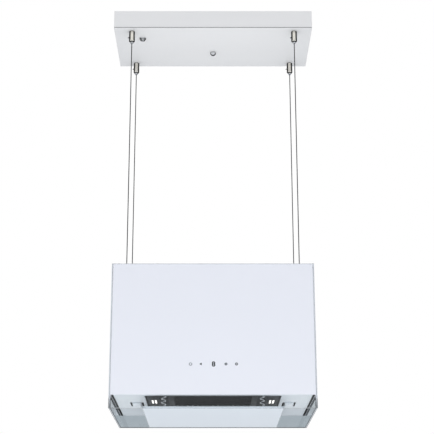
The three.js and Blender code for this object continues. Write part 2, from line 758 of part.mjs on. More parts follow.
// Lamp housing: a box with two long windows below, open above for its lead.
function lampHousing(s) {
  const wall = 2 * CARRIER_SHEET;
  let made = lampTools(s, LAMP_WIDTH, LAMP_LENGTH, carrierBottom, carrierBottom + LAMP_HEIGHT);
  made = made.subtract(
    lampTools(
      s,
      LAMP_WIDTH - wall,
      LAMP_LENGTH - wall,
      carrierBottom + CARRIER_SHEET,
      carrierBottom + LAMP_HEIGHT + CUT,
    ),
  );
  return made.subtract(lampWindows(s, FIT, carrierBottom - CUT, carrierBottom + wall));
}

// The two bars of light of one lamp, grown by a margin on each side.
function lampWindows(s, margin, z0, z1) {
  const half = LAMP_WINDOW_WIDTH / 2 + margin;
  const reach = LAMP_WINDOW_LENGTH / 2 + margin;
  const bar = (x) => box(x - half, x + half, lampY - reach, lampY + reach, z0, z1);
  const x = s * lampX;
  return join(bar(x - LAMP_WINDOW_PITCH / 2), bar(x + LAMP_WINDOW_PITCH / 2));
}

function lampLens(s) {
  const seat = carrierBottom + CARRIER_SHEET + FIT;
  const plate = lampTools(
    s,
    LAMP_WIDTH - 2 * CARRIER_SHEET - 2 * FIT,
    LAMP_LENGTH - 2 * CARRIER_SHEET - 2 * FIT,
    seat,
    seat + LENS_THICKNESS,
  );
  return plate.add(lampWindows(s, 0, carrierBottom, seat + CUT));
}
for (const [side, s] of SIDES) {
  node(`${side}_lamp`, lampHousing(s), BLACK_PAINT);
  node(`${side}_lamp_lens`, lampLens(s), LAMP_WHITE);
}

// ---------------------------------------------------------------- grease filter
// Aluminium frame with a cross rib, around a mesh pad in two panels that are joined under the rib.
const ribY = filterFront + FILTER_RIB_FROM_FRONT;

function filterFrame() {
  const top = filterBottom + FILTER_THICKNESS;
  const ribTop = filterBottom + (FILTER_THICKNESS - MESH_THICKNESS) / 2 - FIT;
  const inside = wideBox(
    filterX - FILTER_BAR,
    filterFront + FILTER_BAR,
    filterRear - FILTER_BAR,
    filterBottom - CUT,
    top + CUT,
  );
  const rib = wideBox(
    filterX - FILTER_BAR + CUT,
    ribY - FILTER_RIB / 2,
    ribY + FILTER_RIB / 2,
    filterBottom,
    ribTop,
  );
  let made = wideBox(filterX, filterFront, filterRear, filterBottom, top);
  made = made.subtract(inside).add(rib);
  const tabZ = carrierBottom + CARRIER_SHEET + FIT;
  for (const [, s] of SIDES) {
    const x = s * (filterX - FILTER_TAB_INSET);
    const half = FILTER_TAB_WIDTH / 2;
    const y1 = filterRear + FILTER_TAB_REACH;
    made = made.add(box(x - half, x + half, filterRear - CUT, y1, tabZ, tabZ + CARRIER_SHEET));
  }
  return made;
}
node("filter_frame", filterFrame(), ALUMINIUM);

const meshZ = filterBottom + (FILTER_THICKNESS - MESH_THICKNESS) / 2;
node(
  "filter_mesh",
  wideBox(
    filterX - FILTER_BAR - FIT,
    filterFront + FILTER_BAR + FIT,
    filterRear - FILTER_BAR - FIT,
    meshZ,
    meshZ + MESH_THICKNESS,
  ),
  DARK_MESH,
);

// Sliding latch under the frame's front bar, with a finger lip.
function filterLatch() {
  const top = filterBottom - FIT;
  const y0 = filterFront + FIT;
  const half = LATCH_WIDTH / 2;
  const pad = wideBox(half, y0, y0 + LATCH_DEPTH, top - LATCH_HEIGHT / 2, top);
  const lip = wideBox(half, y0 + LATCH_DEPTH - LATCH_LIP, y0 + LATCH_DEPTH, top - LATCH_HEIGHT, top);
  return pad.add(lip);
}
node("filter_latch", filterLatch(), STEEL);

// ---------------------------------------------------------------- suction panel
// White glass panel at the bottom edge. Air passes between its sides and the side glass.
node("suction_panel", wideBox(panelX, panelFront, panelRear, glassBottom, panelTop), WHITE_GLASS);

function hingeEye(x0, x1, baseZ, upward) {
  const steps = SMALL_ROUND;
  const points = [[hingeY - HINGE_END_RADIUS, baseZ]];
  for (let i = 0; i <= steps; i++) {
    const angle = Math.PI - (i / steps) * Math.PI;
    points.push([
      hingeY + HINGE_END_RADIUS * Math.cos(angle),
      hingeZ + upward * HINGE_END_RADIUS * Math.sin(angle),
    ]);
  }
  points.push([hingeY + HINGE_END_RADIUS, baseZ]);
  const bore = cylinderX(PIN_RADIUS + FIT, x0 - CUT, x1 + CUT, hingeY, hingeZ, SMALL_ROUND);
  return outlineX(points, x0, x1).subtract(bore);
}

const lugInner = hingeX - HINGE_PLATE;
const bracketInner = hingeX + HINGE_GAP;

function panelCarrier() {
  const bottom = panelTop + FIT;
  const plateX = panelX - PANEL_CARRIER_INSET;
  let made = wideBox(
    plateX,
    panelFront + PANEL_CARRIER_INSET / 2,
    panelRear - PANEL_CARRIER_SHEET,
    bottom,
    panelCarrierTop,
  );
  for (const [, s] of SIDES) {
    const x0 = Math.min(s * lugInner, s * hingeX);
    made = made.add(hingeEye(x0, x0 + HINGE_PLATE, bottom + FIT, 1));
  }
  return made;
}
node("panel_carrier", panelCarrier(), ZINC);

function hingeBracket(s) {
  const x0 = Math.min(s * bracketInner, s * (bracketInner + HINGE_PLATE));
  const top = trayBottom - FIT;
  const foot = Math.min(s * bracketInner, s * (bracketInner + HINGE_FOOT));
  const half = HINGE_FOOT / 2;
  return hingeEye(x0, x0 + HINGE_PLATE, top, -1).add(
    box(foot, foot + HINGE_FOOT, hingeY - half, hingeY + half, top - HINGE_PLATE, top),
  );
}

function hingePin(s) {
  const inner = s * (lugInner - FIT);
  const outer = s * (bracketInner + HINGE_PLATE + SLIDE_FIT);
  const span = (a, b) => [Math.min(a, b), Math.max(a, b)];
  const shank = cylinderX(PIN_RADIUS, ...span(inner, outer), hingeY, hingeZ, SMALL_ROUND);
  const head = (end, out) =>
    cylinderX(PIN_HEAD_RADIUS, ...span(end, end + out * PIN_HEAD), hingeY, hingeZ, SMALL_ROUND);
  return join(shank, head(inner, -s), head(outer, s));
}
for (const [side, s] of SIDES) {
  node(`${side}_hinge_bracket`, hingeBracket(s), STEEL);
  node(`${side}_hinge_pin`, hingePin(s), STEEL);
}

// Bent spring wire between the tray's front lip and the panel. It snaps over the panel's carrier.
class CatchCurve extends THREE.Curve {
  constructor(x, y, z0, z1) {
    super();
    this.start = new THREE.Vector3(x, y, z0);
    this.height = z1 - z0;
  }
  getPoint(t, target = new THREE.Vector3()) {
    const swing = CATCH_SWING * Math.sin(t * CATCH_BENDS * 2 * Math.PI);
    return target.set(this.start.x + swing, this.start.y, this.start.z + t * this.height);
  }
}

function panelCatch(s) {
  const section = new THREE.Shape().absarc(0, 0, CATCH_WIRE, 0, 2 * Math.PI);
  const x = s * (panelX - CATCH_INSET_X);
  const bottom = panelCarrierTop + FIT + CATCH_WIRE;
  const top = trayBottom - FIT - CATCH_WIRE;
  const path = new CatchCurve(x, frontFace + CATCH_FROM_FRONT, bottom, top);
  return solid(
    new THREE.ExtrudeGeometry(section, { steps: 30, extrudePath: path, curveSegments: 4 }),
  );
}
for (const [side, s] of SIDES) {
  node(`${side}_panel_catch`, panelCatch(s), STEEL);
}

// ---------------------------------------------------------------- blower
// Double-inlet scroll housing round a horizontal impeller, with its neck under the outlet slots.
function scrollRadius(turn) {
  return SCROLL_START + SCROLL_GROWTH * turn;
}

// Scroll outline: from the throat under the impeller and up the front wall of the neck.
function scrollOutline(grow, neckTop) {
  const front = fanY + neckFront - grow;
  const rear = fanY + neckRear + grow;
  const points = [[rear, neckTop]];
  for (let i = 0; i <= SCROLL_STEPS; i++) {
    const turn = (NECK_TURN * i) / SCROLL_STEPS;
    const angle = THROAT_ANGLE - turn * 2 * Math.PI;
    const radius = scrollRadius(turn) + grow;
    points.push([fanY + radius * Math.cos(angle), fanZ + radius * Math.sin(angle)]);
  }
  points.push([front, fanZ], [front, neckTop]);
  return points.reverse();
}

function blowerHousing() {
  const half = BLOWER_WIDTH / 2;
  const shell = outlineX(scrollOutline(BLOWER_SHEET, casingTop), -half, half);
  const flange = wideBox(
    half + NECK_FLANGE,
    fanY + neckFront - NECK_FLANGE,
    fanY + neckRear + NECK_FLANGE,
    casingTop - BLOWER_SHEET,
    casingTop,
  );
  const inner = half - BLOWER_SHEET;
  const air = outlineX(scrollOutline(0, casingTop + CUT), -inner, inner);
  const inlets = cylinderX(INLET_RADIUS, -half - CUT, half + CUT, fanY, fanZ, LARGE_ROUND);
  return shell.add(flange).subtract(air).subtract(inlets);
}
node("blower_housing", blowerHousing(), ZINC);

function impeller() {
  const half = IMPELLER_WIDTH / 2;
  const inner = IMPELLER_RADIUS - BLADE_DEPTH;
  const ring = (x0) =>
    turnedX(
      [
        [inner, x0],
        [IMPELLER_RADIUS, x0],
        [IMPELLER_RADIUS, x0 + IMPELLER_RING],
        [inner, x0 + IMPELLER_RING],
        [inner, x0],
      ],
      fanY,
      fanZ,
      LARGE_ROUND,
    );
  const disc = cylinderX(IMPELLER_RADIUS, -IMPELLER_DISC, IMPELLER_DISC, fanY, fanZ, LARGE_ROUND);
  const hub = cylinderX(HUB_RADIUS, -HUB_LENGTH / 2, HUB_LENGTH / 2, fanY, fanZ);
  let made = join(disc, hub, ring(-half), ring(half - IMPELLER_RING));
  for (let i = 0; i < IMPELLER_BLADES; i++) {
    const blade = new THREE.BoxGeometry(IMPELLER_WIDTH - CUT, BLADE_DEPTH - CUT, BLADE_SHEET)
      .rotateX(BLADE_LEAN)
      .translate(0, IMPELLER_RADIUS - BLADE_DEPTH / 2, 0)
      .rotateX((i / IMPELLER_BLADES) * 2 * Math.PI)
      .translate(0, fanY, fanZ);
    made = made.add(solid(blade));
  }
  return made.subtract(
    cylinderX(SHAFT_RADIUS + SLIDE_FIT, -half, half, fanY, fanZ, SMALL_ROUND),
  );
}
node("impeller", impeller(), GREY_PLASTIC);

// Motor inside the right half of the impeller, on three arms across the right inlet.
function blowerMotor() {
  const half = BLOWER_WIDTH / 2;
  const face = half - MOTOR_LENGTH;
  const shaftEnd = -HUB_LENGTH / 2 - SHAFT_PAST_HUB;
  const armX = half + FIT;
  let made = join(
    cylinderX(MOTOR_RADIUS, face, armX + MOTOR_ARM, fanY, fanZ, LARGE_ROUND),
    cylinderX(SHAFT_RADIUS, shaftEnd, face + CUT, fanY, fanZ, SMALL_ROUND),
  );
  for (let i = 0; i < MOTOR_ARMS; i++) {
    const reach = INLET_RADIUS + MOTOR_ARM_WIDTH;
    const arm = new THREE.BoxGeometry(MOTOR_ARM, MOTOR_ARM_WIDTH, reach)
      .translate(armX + MOTOR_ARM / 2, 0, reach / 2)
      .rotateX((i / MOTOR_ARMS) * 2 * Math.PI)
      .translate(0, fanY, fanZ);
    made = made.add(solid(arm));
  }
  return made;
}
node("blower_motor", blowerMotor(), GREY_PLASTIC);

// Round charcoal cartridge that twists onto each inlet, dished on its outer face.
function charcoalFilter(s) {
  const face = BLOWER_WIDTH / 2 + FIT;
  const near = face + MOTOR_ARM + CHARCOAL_SPIGOT;
  const far = near + CHARCOAL_THICKNESS;
  const spigot = INLET_RADIUS + MOTOR_ARM_WIDTH + CUT;
  const profile = [
    [0, near],
    [spigot, near],
    [spigot, face],
    [spigot + CHARCOAL_SPIGOT, face],
    [spigot + CHARCOAL_SPIGOT, near],
    [CHARCOAL_RADIUS, near],
    [CHARCOAL_RADIUS, far],
    [CHARCOAL_RADIUS - CHARCOAL_DISH, far],
    [CHARCOAL_RADIUS - 2 * CHARCOAL_DISH, far - CHARCOAL_DISH],
    [CHARCOAL_HUB_RADIUS + CHARCOAL_DISH, far - CHARCOAL_DISH],
    [CHARCOAL_HUB_RADIUS, far],
    [0, far],
  ];
  const placed = s > 0 ? profile : profile.map(([r, along]) => [r, -along]).reverse();
  return turnedX(placed, fanY, fanZ, LARGE_ROUND);
}
for (const [side, s] of SIDES) {
  node(`${side}_charcoal_filter`, charcoalFilter(s), CHARCOAL);
}

// Control electronics in a lidded plastic box on the casing's left wall.
function controlBox() {
  const left = -casingX + CASING_SHEET + FIT;
  const { x: wide, y: deep, z: tall } = CONTROL_BOX;
  const lid = deep / 2 - CONTROL_LID;
  const lidZ = tall / 2 - CONTROL_LID;
  const base = box(left, left + wide - CONTROL_LID, -deep / 2, deep / 2, fanZ - tall / 2, fanZ + tall / 2);
  return base.add(box(left, left + wide, -lid, lid, fanZ - lidZ, fanZ + lidZ));
}
node("control_box", controlBox(), BLACK_PAINT);

export default hood;
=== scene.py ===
# Island range hood in white glass, hung from its ceiling canopy on four steel ropes.
# Metres, Z up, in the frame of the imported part. The controls face -Y.
import math

import bmesh
import bpy
from mathutils import Matrix, Vector


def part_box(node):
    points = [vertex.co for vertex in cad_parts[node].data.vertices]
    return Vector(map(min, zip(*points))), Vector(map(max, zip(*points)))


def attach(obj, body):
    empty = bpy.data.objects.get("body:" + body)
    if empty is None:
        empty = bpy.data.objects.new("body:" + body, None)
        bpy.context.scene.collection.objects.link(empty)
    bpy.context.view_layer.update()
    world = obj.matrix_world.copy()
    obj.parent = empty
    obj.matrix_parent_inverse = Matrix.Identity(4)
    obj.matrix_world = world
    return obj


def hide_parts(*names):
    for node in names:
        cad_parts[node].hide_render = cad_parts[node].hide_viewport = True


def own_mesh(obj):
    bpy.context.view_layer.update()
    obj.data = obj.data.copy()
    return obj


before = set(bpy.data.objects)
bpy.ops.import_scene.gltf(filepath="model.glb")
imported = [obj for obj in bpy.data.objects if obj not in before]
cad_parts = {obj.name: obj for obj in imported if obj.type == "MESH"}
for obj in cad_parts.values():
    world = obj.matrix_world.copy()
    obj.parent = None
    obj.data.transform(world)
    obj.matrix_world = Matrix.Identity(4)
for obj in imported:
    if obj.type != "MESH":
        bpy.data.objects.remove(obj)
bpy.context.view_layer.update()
MM = 0.001
X_AXIS, Y_AXIS, Z_AXIS = Vector((1, 0, 0)), Vector((0, 1, 0)), Vector((0, 0, 1))
CORNERS = ("front_left", "front_right", "rear_left", "rear_right")
SIDES = (("left", -1), ("right", 1))

# ------------------------ Camera
# Stands in front of the hood, a little below its lower edge, and looks up at the canopy.
# A long lens keeps the sides of the glass nearly upright.
CAMERA_PLACE = (0, -3.6105, -1.815)
CAMERA_PITCH = math.radians(107.8)
CAMERA_LENS = 98.5
CAMERA_SENSOR = 36
CAMERA_SHIFT = 0.0092
CAMERA_REACH = 80

scene = bpy.context.scene
camera_data = bpy.data.cameras.new("camera")
camera_data.lens = CAMERA_LENS
camera_data.sensor_width = CAMERA_SENSOR
camera_data.shift_x = CAMERA_SHIFT
camera_data.clip_end = CAMERA_REACH
camera = bpy.data.objects.new("camera", camera_data)
camera.location = CAMERA_PLACE
camera.rotation_euler = (CAMERA_PITCH, 0, 0)
scene.collection.objects.link(camera)
scene.camera = camera
scene.view_settings.view_transform = "Standard"

# ------------------------ Studio
# A white cyclorama room: bright in front and above, greyer behind, so that metal and
# glass have something to show. The backdrop itself is burnt out to plain white.
ROOM_FRONT = (1.0, 1.01, 1.03, 1)
ROOM_SIDE = (0.66, 0.69, 0.72, 1)
ROOM_REAR = (0.36, 0.41, 0.45, 1)
ROOM_TOP = (0.95, 0.96, 0.98, 1)
ROOM_TOP_LEVEL = 0.15
UNLIT_TONE = (0.5, 0.52, 0.54, 1)
UNLIT_WAY = Vector((0, -1, 0.16))
UNLIT_EDGE = (0.955, 0.99)
CARD_TONE = (0.02, 0.02, 0.022, 1)
CARD_WAY = Vector((0.22, 0.87, 0.45))
CARD_EDGE = (0.28, 0.52)
BACKDROP_WHITE = (1, 1, 1, 1)


# A node in a tree. A socket given for an input is linked to it; a value is set on it.
def add_node(tree, kind, inputs=(), **settings):
    node = tree.nodes.new("ShaderNode" + kind)
    for label, value in settings.items():
        setattr(node, label, value)
    for label, value in dict(inputs).items():
        if isinstance(value, bpy.types.NodeSocket):
            tree.links.new(value, node.inputs[label])
        else:
            node.inputs[label].default_value = value
    return node


# One colour laid over another by a share, plainly or multiplied.
def over(tree, share, first, second, blend="MIX"):
    inputs = {"Factor": share, "A": first, "B": second}
    return add_node(tree, "Mix", inputs, data_type="RGBA", blend_type=blend).outputs["Result"]


# A share that rises smoothly from nothing at one value to all at another.
def smooth_share(tree, value, start, end):
    inputs = {"From Min": start, "From Max": end, "Value": value}
    return add_node(tree, "MapRange", inputs, interpolation_type="SMOOTHSTEP").outputs[0]


# The share of the room that lies towards a way.
def room_towards(way, edge):
    inputs = {0: room_way, 1: way.normalized()}
    aim = add_node(room, "VectorMath", inputs, operation="DOT_PRODUCT")
    return smooth_share(room, aim.outputs["Value"], *edge)


world = bpy.data.worlds.new("studio")
world.use_nodes = True
scene.world = world
room = world.node_tree
room.nodes.clear()
room_way = add_node(room, "TexCoord").outputs["Generated"]
room_parts = add_node(room, "SeparateXYZ", {0: room_way}).outputs
room_depth = add_node(room, "MapRange", {"From Min": -1, "Value": room_parts["Y"]})
room_ramp = add_node(room, "ValToRGB", {0: room_depth.outputs[0]})
room_ramp.color_ramp.elements[0].color = ROOM_FRONT
room_ramp.color_ramp.elements[1].color = ROOM_REAR
room_ramp.color_ramp.elements.new(0.5).color = ROOM_SIDE
room_height = add_node(room, "MapRange", {"From Min": ROOM_TOP_LEVEL, "Value": room_parts["Z"]})
room_tone = over(room, room_height.outputs[0], room_ramp.outputs[0], ROOM_TOP)
# The camera's side of the room is unlit, so the front glass has something dark to show.
room_tone = over(room, room_towards(UNLIT_WAY, UNLIT_EDGE), room_tone, UNLIT_TONE)
room_light = add_node(room, "Background", {"Color": room_tone})
# A black card behind and above shows in bright metal only, as the dark outline of a tube.
rays = add_node(room, "LightPath").outputs
mirrored = add_node(
    room, "Math", {0: rays["Is Glossy Ray"], 1: rays["Is Transmission Ray"]},
    operation="SUBTRACT", use_clamp=True,
)
card_inputs = {0: room_towards(CARD_WAY, CARD_EDGE), 1: mirrored.outputs[0]}
card_share = add_node(room, "Math", card_inputs, operation="MULTIPLY")
card_light = add_node(room, "Background", {"Color": CARD_TONE})
room_seen = add_node(
    room, "MixShader",
    {0: card_share.outputs[0], 1: room_light.outputs[0], 2: card_light.outputs[0]},
)
backdrop_light = add_node(room, "Background", {"Color": BACKDROP_WHITE})
room_choice = add_node(
    room, "MixShader",
    {0: rays["Is Camera Ray"], 1: room_seen.outputs[0], 2: backdrop_light.outputs[0]},
)
add_node(room, "OutputWorld", {0: room_choice.outputs[0]})

# Soft boxes: name, place, what it faces, its two sides and its power in watts. The small
# one hangs between the hood and the canopy and faces up, clear of the hood at any height.
SOFT_BOXES = (
    ("front_softbox", (-1.5, -3.6, 2.0), (0, 0, -1.0), (2.2, 2.2), 6),
    ("top_softbox", (0.8, -1.0, 2.6), (0, 0, -0.6), (2.2, 2.2), 9),
    ("floor_softbox", (0.0, -1.3, -2.55), (0, 0, -0.6), (2.4, 2.4), 18),
    ("canopy_softbox", (0.0, -0.14, -0.5), (0, -0.14, 0), (0.62, 0.2), 0.52),
)
for box_name, place, target, sides, power in SOFT_BOXES:
    softbox = bpy.data.lights.new(box_name, "AREA")
    softbox.shape = "RECTANGLE"
    softbox.size, softbox.size_y = sides
    softbox.energy = power
    stand = bpy.data.objects.new(box_name, softbox)
    stand.location = place
    stand.rotation_euler = (Vector(target) - Vector(place)).to_track_quat("-Z", "Y").to_euler()
    stand.visible_camera = False
    stand.visible_glossy = False
    stand.visible_transmission = False
    scene.collection.objects.link(stand)

FLOOR_HEIGHT = -2.7
FLOOR_SIZE = 30
FLOOR_TONE = (0.86, 0.87, 0.88, 1)
FLOOR_ROUGHNESS = 0.9
floor_shape = bmesh.new()
floor_place = Matrix.Translation((0, 0, FLOOR_HEIGHT))
bmesh.ops.create_grid(floor_shape, x_segments=1, y_segments=1, size=FLOOR_SIZE, matrix=floor_place)
floor_mesh = bpy.data.meshes.new("studio_floor")
floor_shape.to_mesh(floor_mesh)
floor_shape.free()
floor_paint = bpy.data.materials.new("studio_floor")
floor_paint.use_nodes = True
floor_shader = floor_paint.node_tree.nodes["Principled BSDF"]
floor_shader.inputs["Base Color"].default_value = FLOOR_TONE
floor_shader.inputs["Roughness"].default_value = FLOOR_ROUGHNESS
floor_mesh.materials.append(floor_paint)
studio_floor = bpy.data.objects.new("studio_floor", floor_mesh)
scene.collection.objects.link(studio_floor)

# ------------------------ Ceiling bracket
# Channel folded from 2.5 mm zinc-coated steel, with lips that the grips screw into.
# Four screws through its slots hold it to the ceiling; the stud carries the cap nut.
BRACKET_FOLD = 0.5 * MM
SPANGLE_SCALE = 160
SPANGLE_GLOSS = (0.3, 0.52)
GRAIN_STRENGTH = 0.6
NODE_MERGE = 0.005 * MM
FLAT_LIMIT = math.radians(1)
SHARP_LIMIT = math.radians(60)


# A shader node group with its sockets: label, kind and starting value.
def effect_group(name, inputs, outputs):
    tree = bpy.data.node_groups.new(name, "ShaderNodeTree")
    for label, kind, value in inputs:
        socket = tree.interface.new_socket(label, in_out="INPUT", socket_type="NodeSocket" + kind)
        if value is not None:
            socket.default_value = value
    for label, kind in outputs:
        tree.interface.new_socket(label, in_out="OUTPUT", socket_type="NodeSocket" + kind)
    return tree, tree.nodes.new("NodeGroupInput").outputs, tree.nodes.new("NodeGroupOutput").inputs


# Handling haze: slow drifts of tone and of gloss, as on any wiped surface.
def make_haze():
    tree, given, made = effect_group(
        "handling_haze",
        [
            ("Vector", "Vector", None), ("Scale", "Float", 8.0),
            ("Light Tone", "Color", (1, 1, 1, 1)), ("Dark Tone", "Color", (0.9, 0.9, 0.9, 1)),
            ("Gloss Low", "Float", 0.3), ("Gloss High", "Float", 0.4),
        ],
        [("Tone", "Color"), ("Roughness", "Float")],
    )
    drift = {"Detail": 5, "Vector": given["Vector"], "Scale": given["Scale"]}
    cloud = add_node(tree, "TexNoise", drift).outputs["Fac"]
    tree.links.new(over(tree, cloud, given["Light Tone"], given["Dark Tone"]), made["Tone"])
    smear = {"From Min": 0.35, "From Max": 0.65, "Value": cloud}
    smear |= {"To Min": given["Gloss Low"], "To Max": given["Gloss High"]}
    tree.links.new(add_node(tree, "MapRange", smear).outputs[0], made["Roughness"])
    return tree


# Fine grain: orange peel of a paint, cast of a moulding, or lay marks when stretched.
def make_grain():
    tree, given, made = effect_group(
        "fine_grain",
        [("Vector", "Vector", None), ("Stretch", "Vector", (1, 1, 1)), ("Scale", "Float", 900.0)],
        [("Height", "Float")],
    )
    pull = {0: given["Vector"], 1: given["Stretch"]}
    pulled = add_node(tree, "VectorMath", pull, operation="MULTIPLY").outputs[0]
    peel = {"Detail": 3, "Vector": pulled, "Scale": given["Scale"]}
    tree.links.new(add_node(tree, "TexNoise", peel).outputs["Fac"], made["Height"])
    return tree


handling_haze = make_haze()
fine_grain = make_grain()


# A finish: its colour in two close tones, its gloss range and its grain. Anything else
# is set on the shader's own sockets.
def finish(
    name, light, dark, gloss, grain=900, depth=0.02, haze=8, stretch=(1, 1, 1), metal=0.0, **extra
):
    paint = bpy.data.materials.new(name)
    paint.use_nodes = True
    tree = paint.node_tree
    place = add_node(tree, "TexCoord").outputs["Object"]
    wipe = {"Vector": place, "Scale": haze, "Light Tone": (*light, 1), "Dark Tone": (*dark, 1)}
    wipe |= {"Gloss Low": gloss[0], "Gloss High": gloss[1]}
    wiped = add_node(tree, "Group", wipe, node_tree=handling_haze)
    peel = {"Vector": place, "Scale": grain, "Stretch": stretch}
    grained = add_node(tree, "Group", peel, node_tree=fine_grain)
    relief = {"Strength": GRAIN_STRENGTH, "Distance": depth * MM, "Height": grained.outputs[0]}
    bump = add_node(tree, "Bump", relief)
    shader = tree.nodes["Principled BSDF"]
    tree.links.new(wiped.outputs["Tone"], shader.inputs["Base Color"])
    tree.links.new(wiped.outputs["Roughness"], shader.inputs["Roughness"])
    tree.links.new(bump.outputs[0], shader.inputs["Normal"])
    shader.inputs["Metallic"].default_value = metal
    for label, value in extra.items():
        shader.inputs[label.replace("_", " ")].default_value = value
    return paint


# Zinc coat: its spangle shows as patches of crystal that reflect a little differently.
def zinc_finish(name, light, dark):
    paint = finish(name, light, dark, (0.36, 0.48), grain=260, depth=0.01, haze=14, metal=0.85)
    tree = paint.node_tree
    place = add_node(tree, "TexCoord").outputs["Object"]
    crystals = add_node(tree, "TexVoronoi", {"Scale": SPANGLE_SCALE, "Vector": place})
    patch = add_node(tree, "SeparateColor", {0: crystals.outputs["Color"]}).outputs[0]
    low, high = SPANGLE_GLOSS
    gloss = add_node(tree, "MapRange", {"To Min": low, "To Max": high, "Value": patch})
    tree.links.new(gloss.outputs[0], tree.nodes["Principled BSDF"].inputs["Roughness"])
    return paint


# Rounds edges over a width, as a fold, a broken edge or a moulding has them.
def ease(shape, edges, width, segments=2, affect="EDGES"):
    bmesh.ops.bevel(
        shape, geom=list(edges), offset=width, affect=affect, segments=segments, profile=0.5,
        material=-1, clamp_overlap=True,
    )


# Joins the vertices of a bmesh that lie within a gap of each other.
def weld(shape, gap):
    bmesh.ops.remove_doubles(shape, verts=shape.verts, dist=gap)


# Turns every face of a bmesh outwards.
def face_out(shape):
    bmesh.ops.recalc_face_normals(shape, faces=shape.faces)


# A bmesh of a CAD node with its triangles merged back into flats.
def traced(node):
    shape = bmesh.new()
    shape.from_mesh(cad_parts[node].data)
    weld(shape, NODE_MERGE)
    bmesh.ops.dissolve_limit(
        shape, angle_limit=FLAT_LIMIT, verts=shape.verts[:], edges=shape.edges[:]
    )
    return shape


def sharp_edges(shape):
    pairs = [e for e in shape.edges if len(e.link_faces) == 2]
    return [e for e in pairs if e.calc_face_angle() > SHARP_LIMIT]


# Puts a finished bmesh in the scene: on its body, in its slot, for its CAD nodes.
def fit(name, shape, body, paint, stands_for=(), crease=50):
    mesh = bpy.data.meshes.new(name)
    shape.to_mesh(mesh)
    shape.free()
    mesh.shade_smooth()
    mesh.set_sharp_from_angle(angle=math.radians(crease))
    mesh.materials.append(paint)
    piece = bpy.data.objects.new(name, mesh)
    scene.collection.objects.link(piece)
    true_flats = piece.modifiers.new("true_flats", "WEIGHTED_NORMAL")
    true_flats.keep_sharp = True
    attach(piece, body)
    if stands_for:
        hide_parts(*stands_for)
    return piece


# Traces a CAD node, rounds its sharp edges over a width and fits it in the node's place.
def fit_traced(name, node, body, paint, width, segments=2):
    shape = traced(node)
    ease(shape, sharp_edges(shape), width, segments)
    return fit(name, shape, body, paint, [node])


zinc = zinc_finish("zinc_coat", (0.60, 0.61, 0.62), (0.48, 0.49, 0.51))
fit_traced("bracket_channel", "ceiling_bracket", "ceiling_unit", zinc, BRACKET_FOLD)

# ------------------------ Ceiling canopy
# Box folded from 1.5 mm steel, open towards the ceiling, with rounded folds and welded
# corners, powder-coated white. A sunk seam runs round it above the lower fold; its faces are
# painted dark grey, which is painted shade.
CANOPY_FOLD = 1.6 * MM
SEAM_LEVEL = 2.2 * MM
SEAM_WIDTH = 2.4 * MM
SEAM_DEPTH = 1.1 * MM
LONG_EDGE = 50 * MM
NEAR = 0.1 * MM

white_coat = finish(
    "white_powder_coat", (0.775, 0.77, 0.77), (0.755, 0.75, 0.75), (0.3, 0.4), grain=700
)
seam_painted_shade = finish("seam_painted_shade", (0.2, 0.2, 0.205), (0.15, 0.15, 0.155), (0.5, 0.6))
canopy_low, canopy_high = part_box("ceiling_canopy")


# Cuts a bmesh with a plane through a point, and drops what lies beyond if asked to.
def cut(shape, point, way, drop=False):
    bmesh.ops.bisect_plane(
        shape, geom=shape.faces[:] + shape.edges[:] + shape.verts[:], plane_co=point,
        plane_no=way, clear_outer=drop,
    )


# How far a point of the canopy stands in from its nearest outer side.
def canopy_inset(point):
    return min(canopy_high.x - abs(point.x), canopy_high.y - abs(point.y))


canopy_shape = traced("ceiling_canopy")
fold_edges = [
    e
    for e in sharp_edges(canopy_shape)
    if e.calc_length() > LONG_EDGE
    and all(canopy_inset(v.co) < NEAR for v in e.verts)
    and min(v.co.z for v in e.verts) < canopy_low.z + NEAR
]
ease(canopy_shape, fold_edges, CANOPY_FOLD, 5)
seam_low = canopy_low.z + SEAM_LEVEL
for level in (seam_low, seam_low + SEAM_WIDTH):
    cut(canopy_shape, (0, 0, level), Z_AXIS)
seam = []
for face in canopy_shape.faces:
    middle = face.calc_center_median()
    if seam_low < middle.z < seam_low + SEAM_WIDTH and canopy_inset(middle) < NEAR:
        seam.append(face)
bmesh.ops.inset_region(
    canopy_shape, faces=seam, thickness=0, depth=-SEAM_DEPTH, use_boundary=True,
    use_even_offset=True,
)
# Painted shade: the seam's faces take the dark grey.
for face in seam:
    face.material_index = 1
canopy_shell = fit(
    "canopy_shell", canopy_shape, "ceiling_unit", white_coat, ["ceiling_canopy"]
)
canopy_shell.data.materials.append(seam_painted_shade)

# ------------------------ Cap nut and supply gland
# Chromed brass. The cap nut is a hexagon with a dome and pulls the canopy to its bracket.
# The gland is a collar and a fluted nut, with a rubber bush that grips the supply lead.
HEX_PART = 0.45
DOME_PART = 0.84
DOME_STEPS = 10
GLAND_THREAD = 9.3 * MM
GLAND_COLLAR = 3 * MM
COLLAR_EDGE = 0.6 * MM
GLAND_BORE = 4 * MM
GLAND_NECK = 5.9 * MM
NECK_EDGE = 2.2 * MM
FLUTES = 12
FLUTE_DEPTH = 3 * MM
FLUTE_WIDTH = 2.9 * MM
LEAD_BORE = 1.4 * MM
BUSH_LENGTH = 6 * MM
TURNED_CREASE = 35


# Painted reflection: darkens the base colour where the surface turns away from the eye, as bright
# plating would mirror the dark room.
def paint_rim_reflection(paint, start, end, share):
    tree = paint.node_tree
    base = tree.nodes["Principled BSDF"].inputs["Base Color"]
    tone = base.links[0].from_socket
    turning = add_node(tree, "LayerWeight", {"Blend": 0.5}).outputs["Facing"]
    reflection_share = smooth_share(tree, turning, start, end)
    tree.links.new(over(tree, reflection_share, tone, (share, share, share, 1), "MULTIPLY"), base)


chrome_with_painted_rim = finish(
    "chrome_with_painted_rim", (0.86, 0.87, 0.88), (0.8, 0.81, 0.83), (0.05, 0.11), grain=300, depth=0.004,
    haze=60, metal=1.0,
)
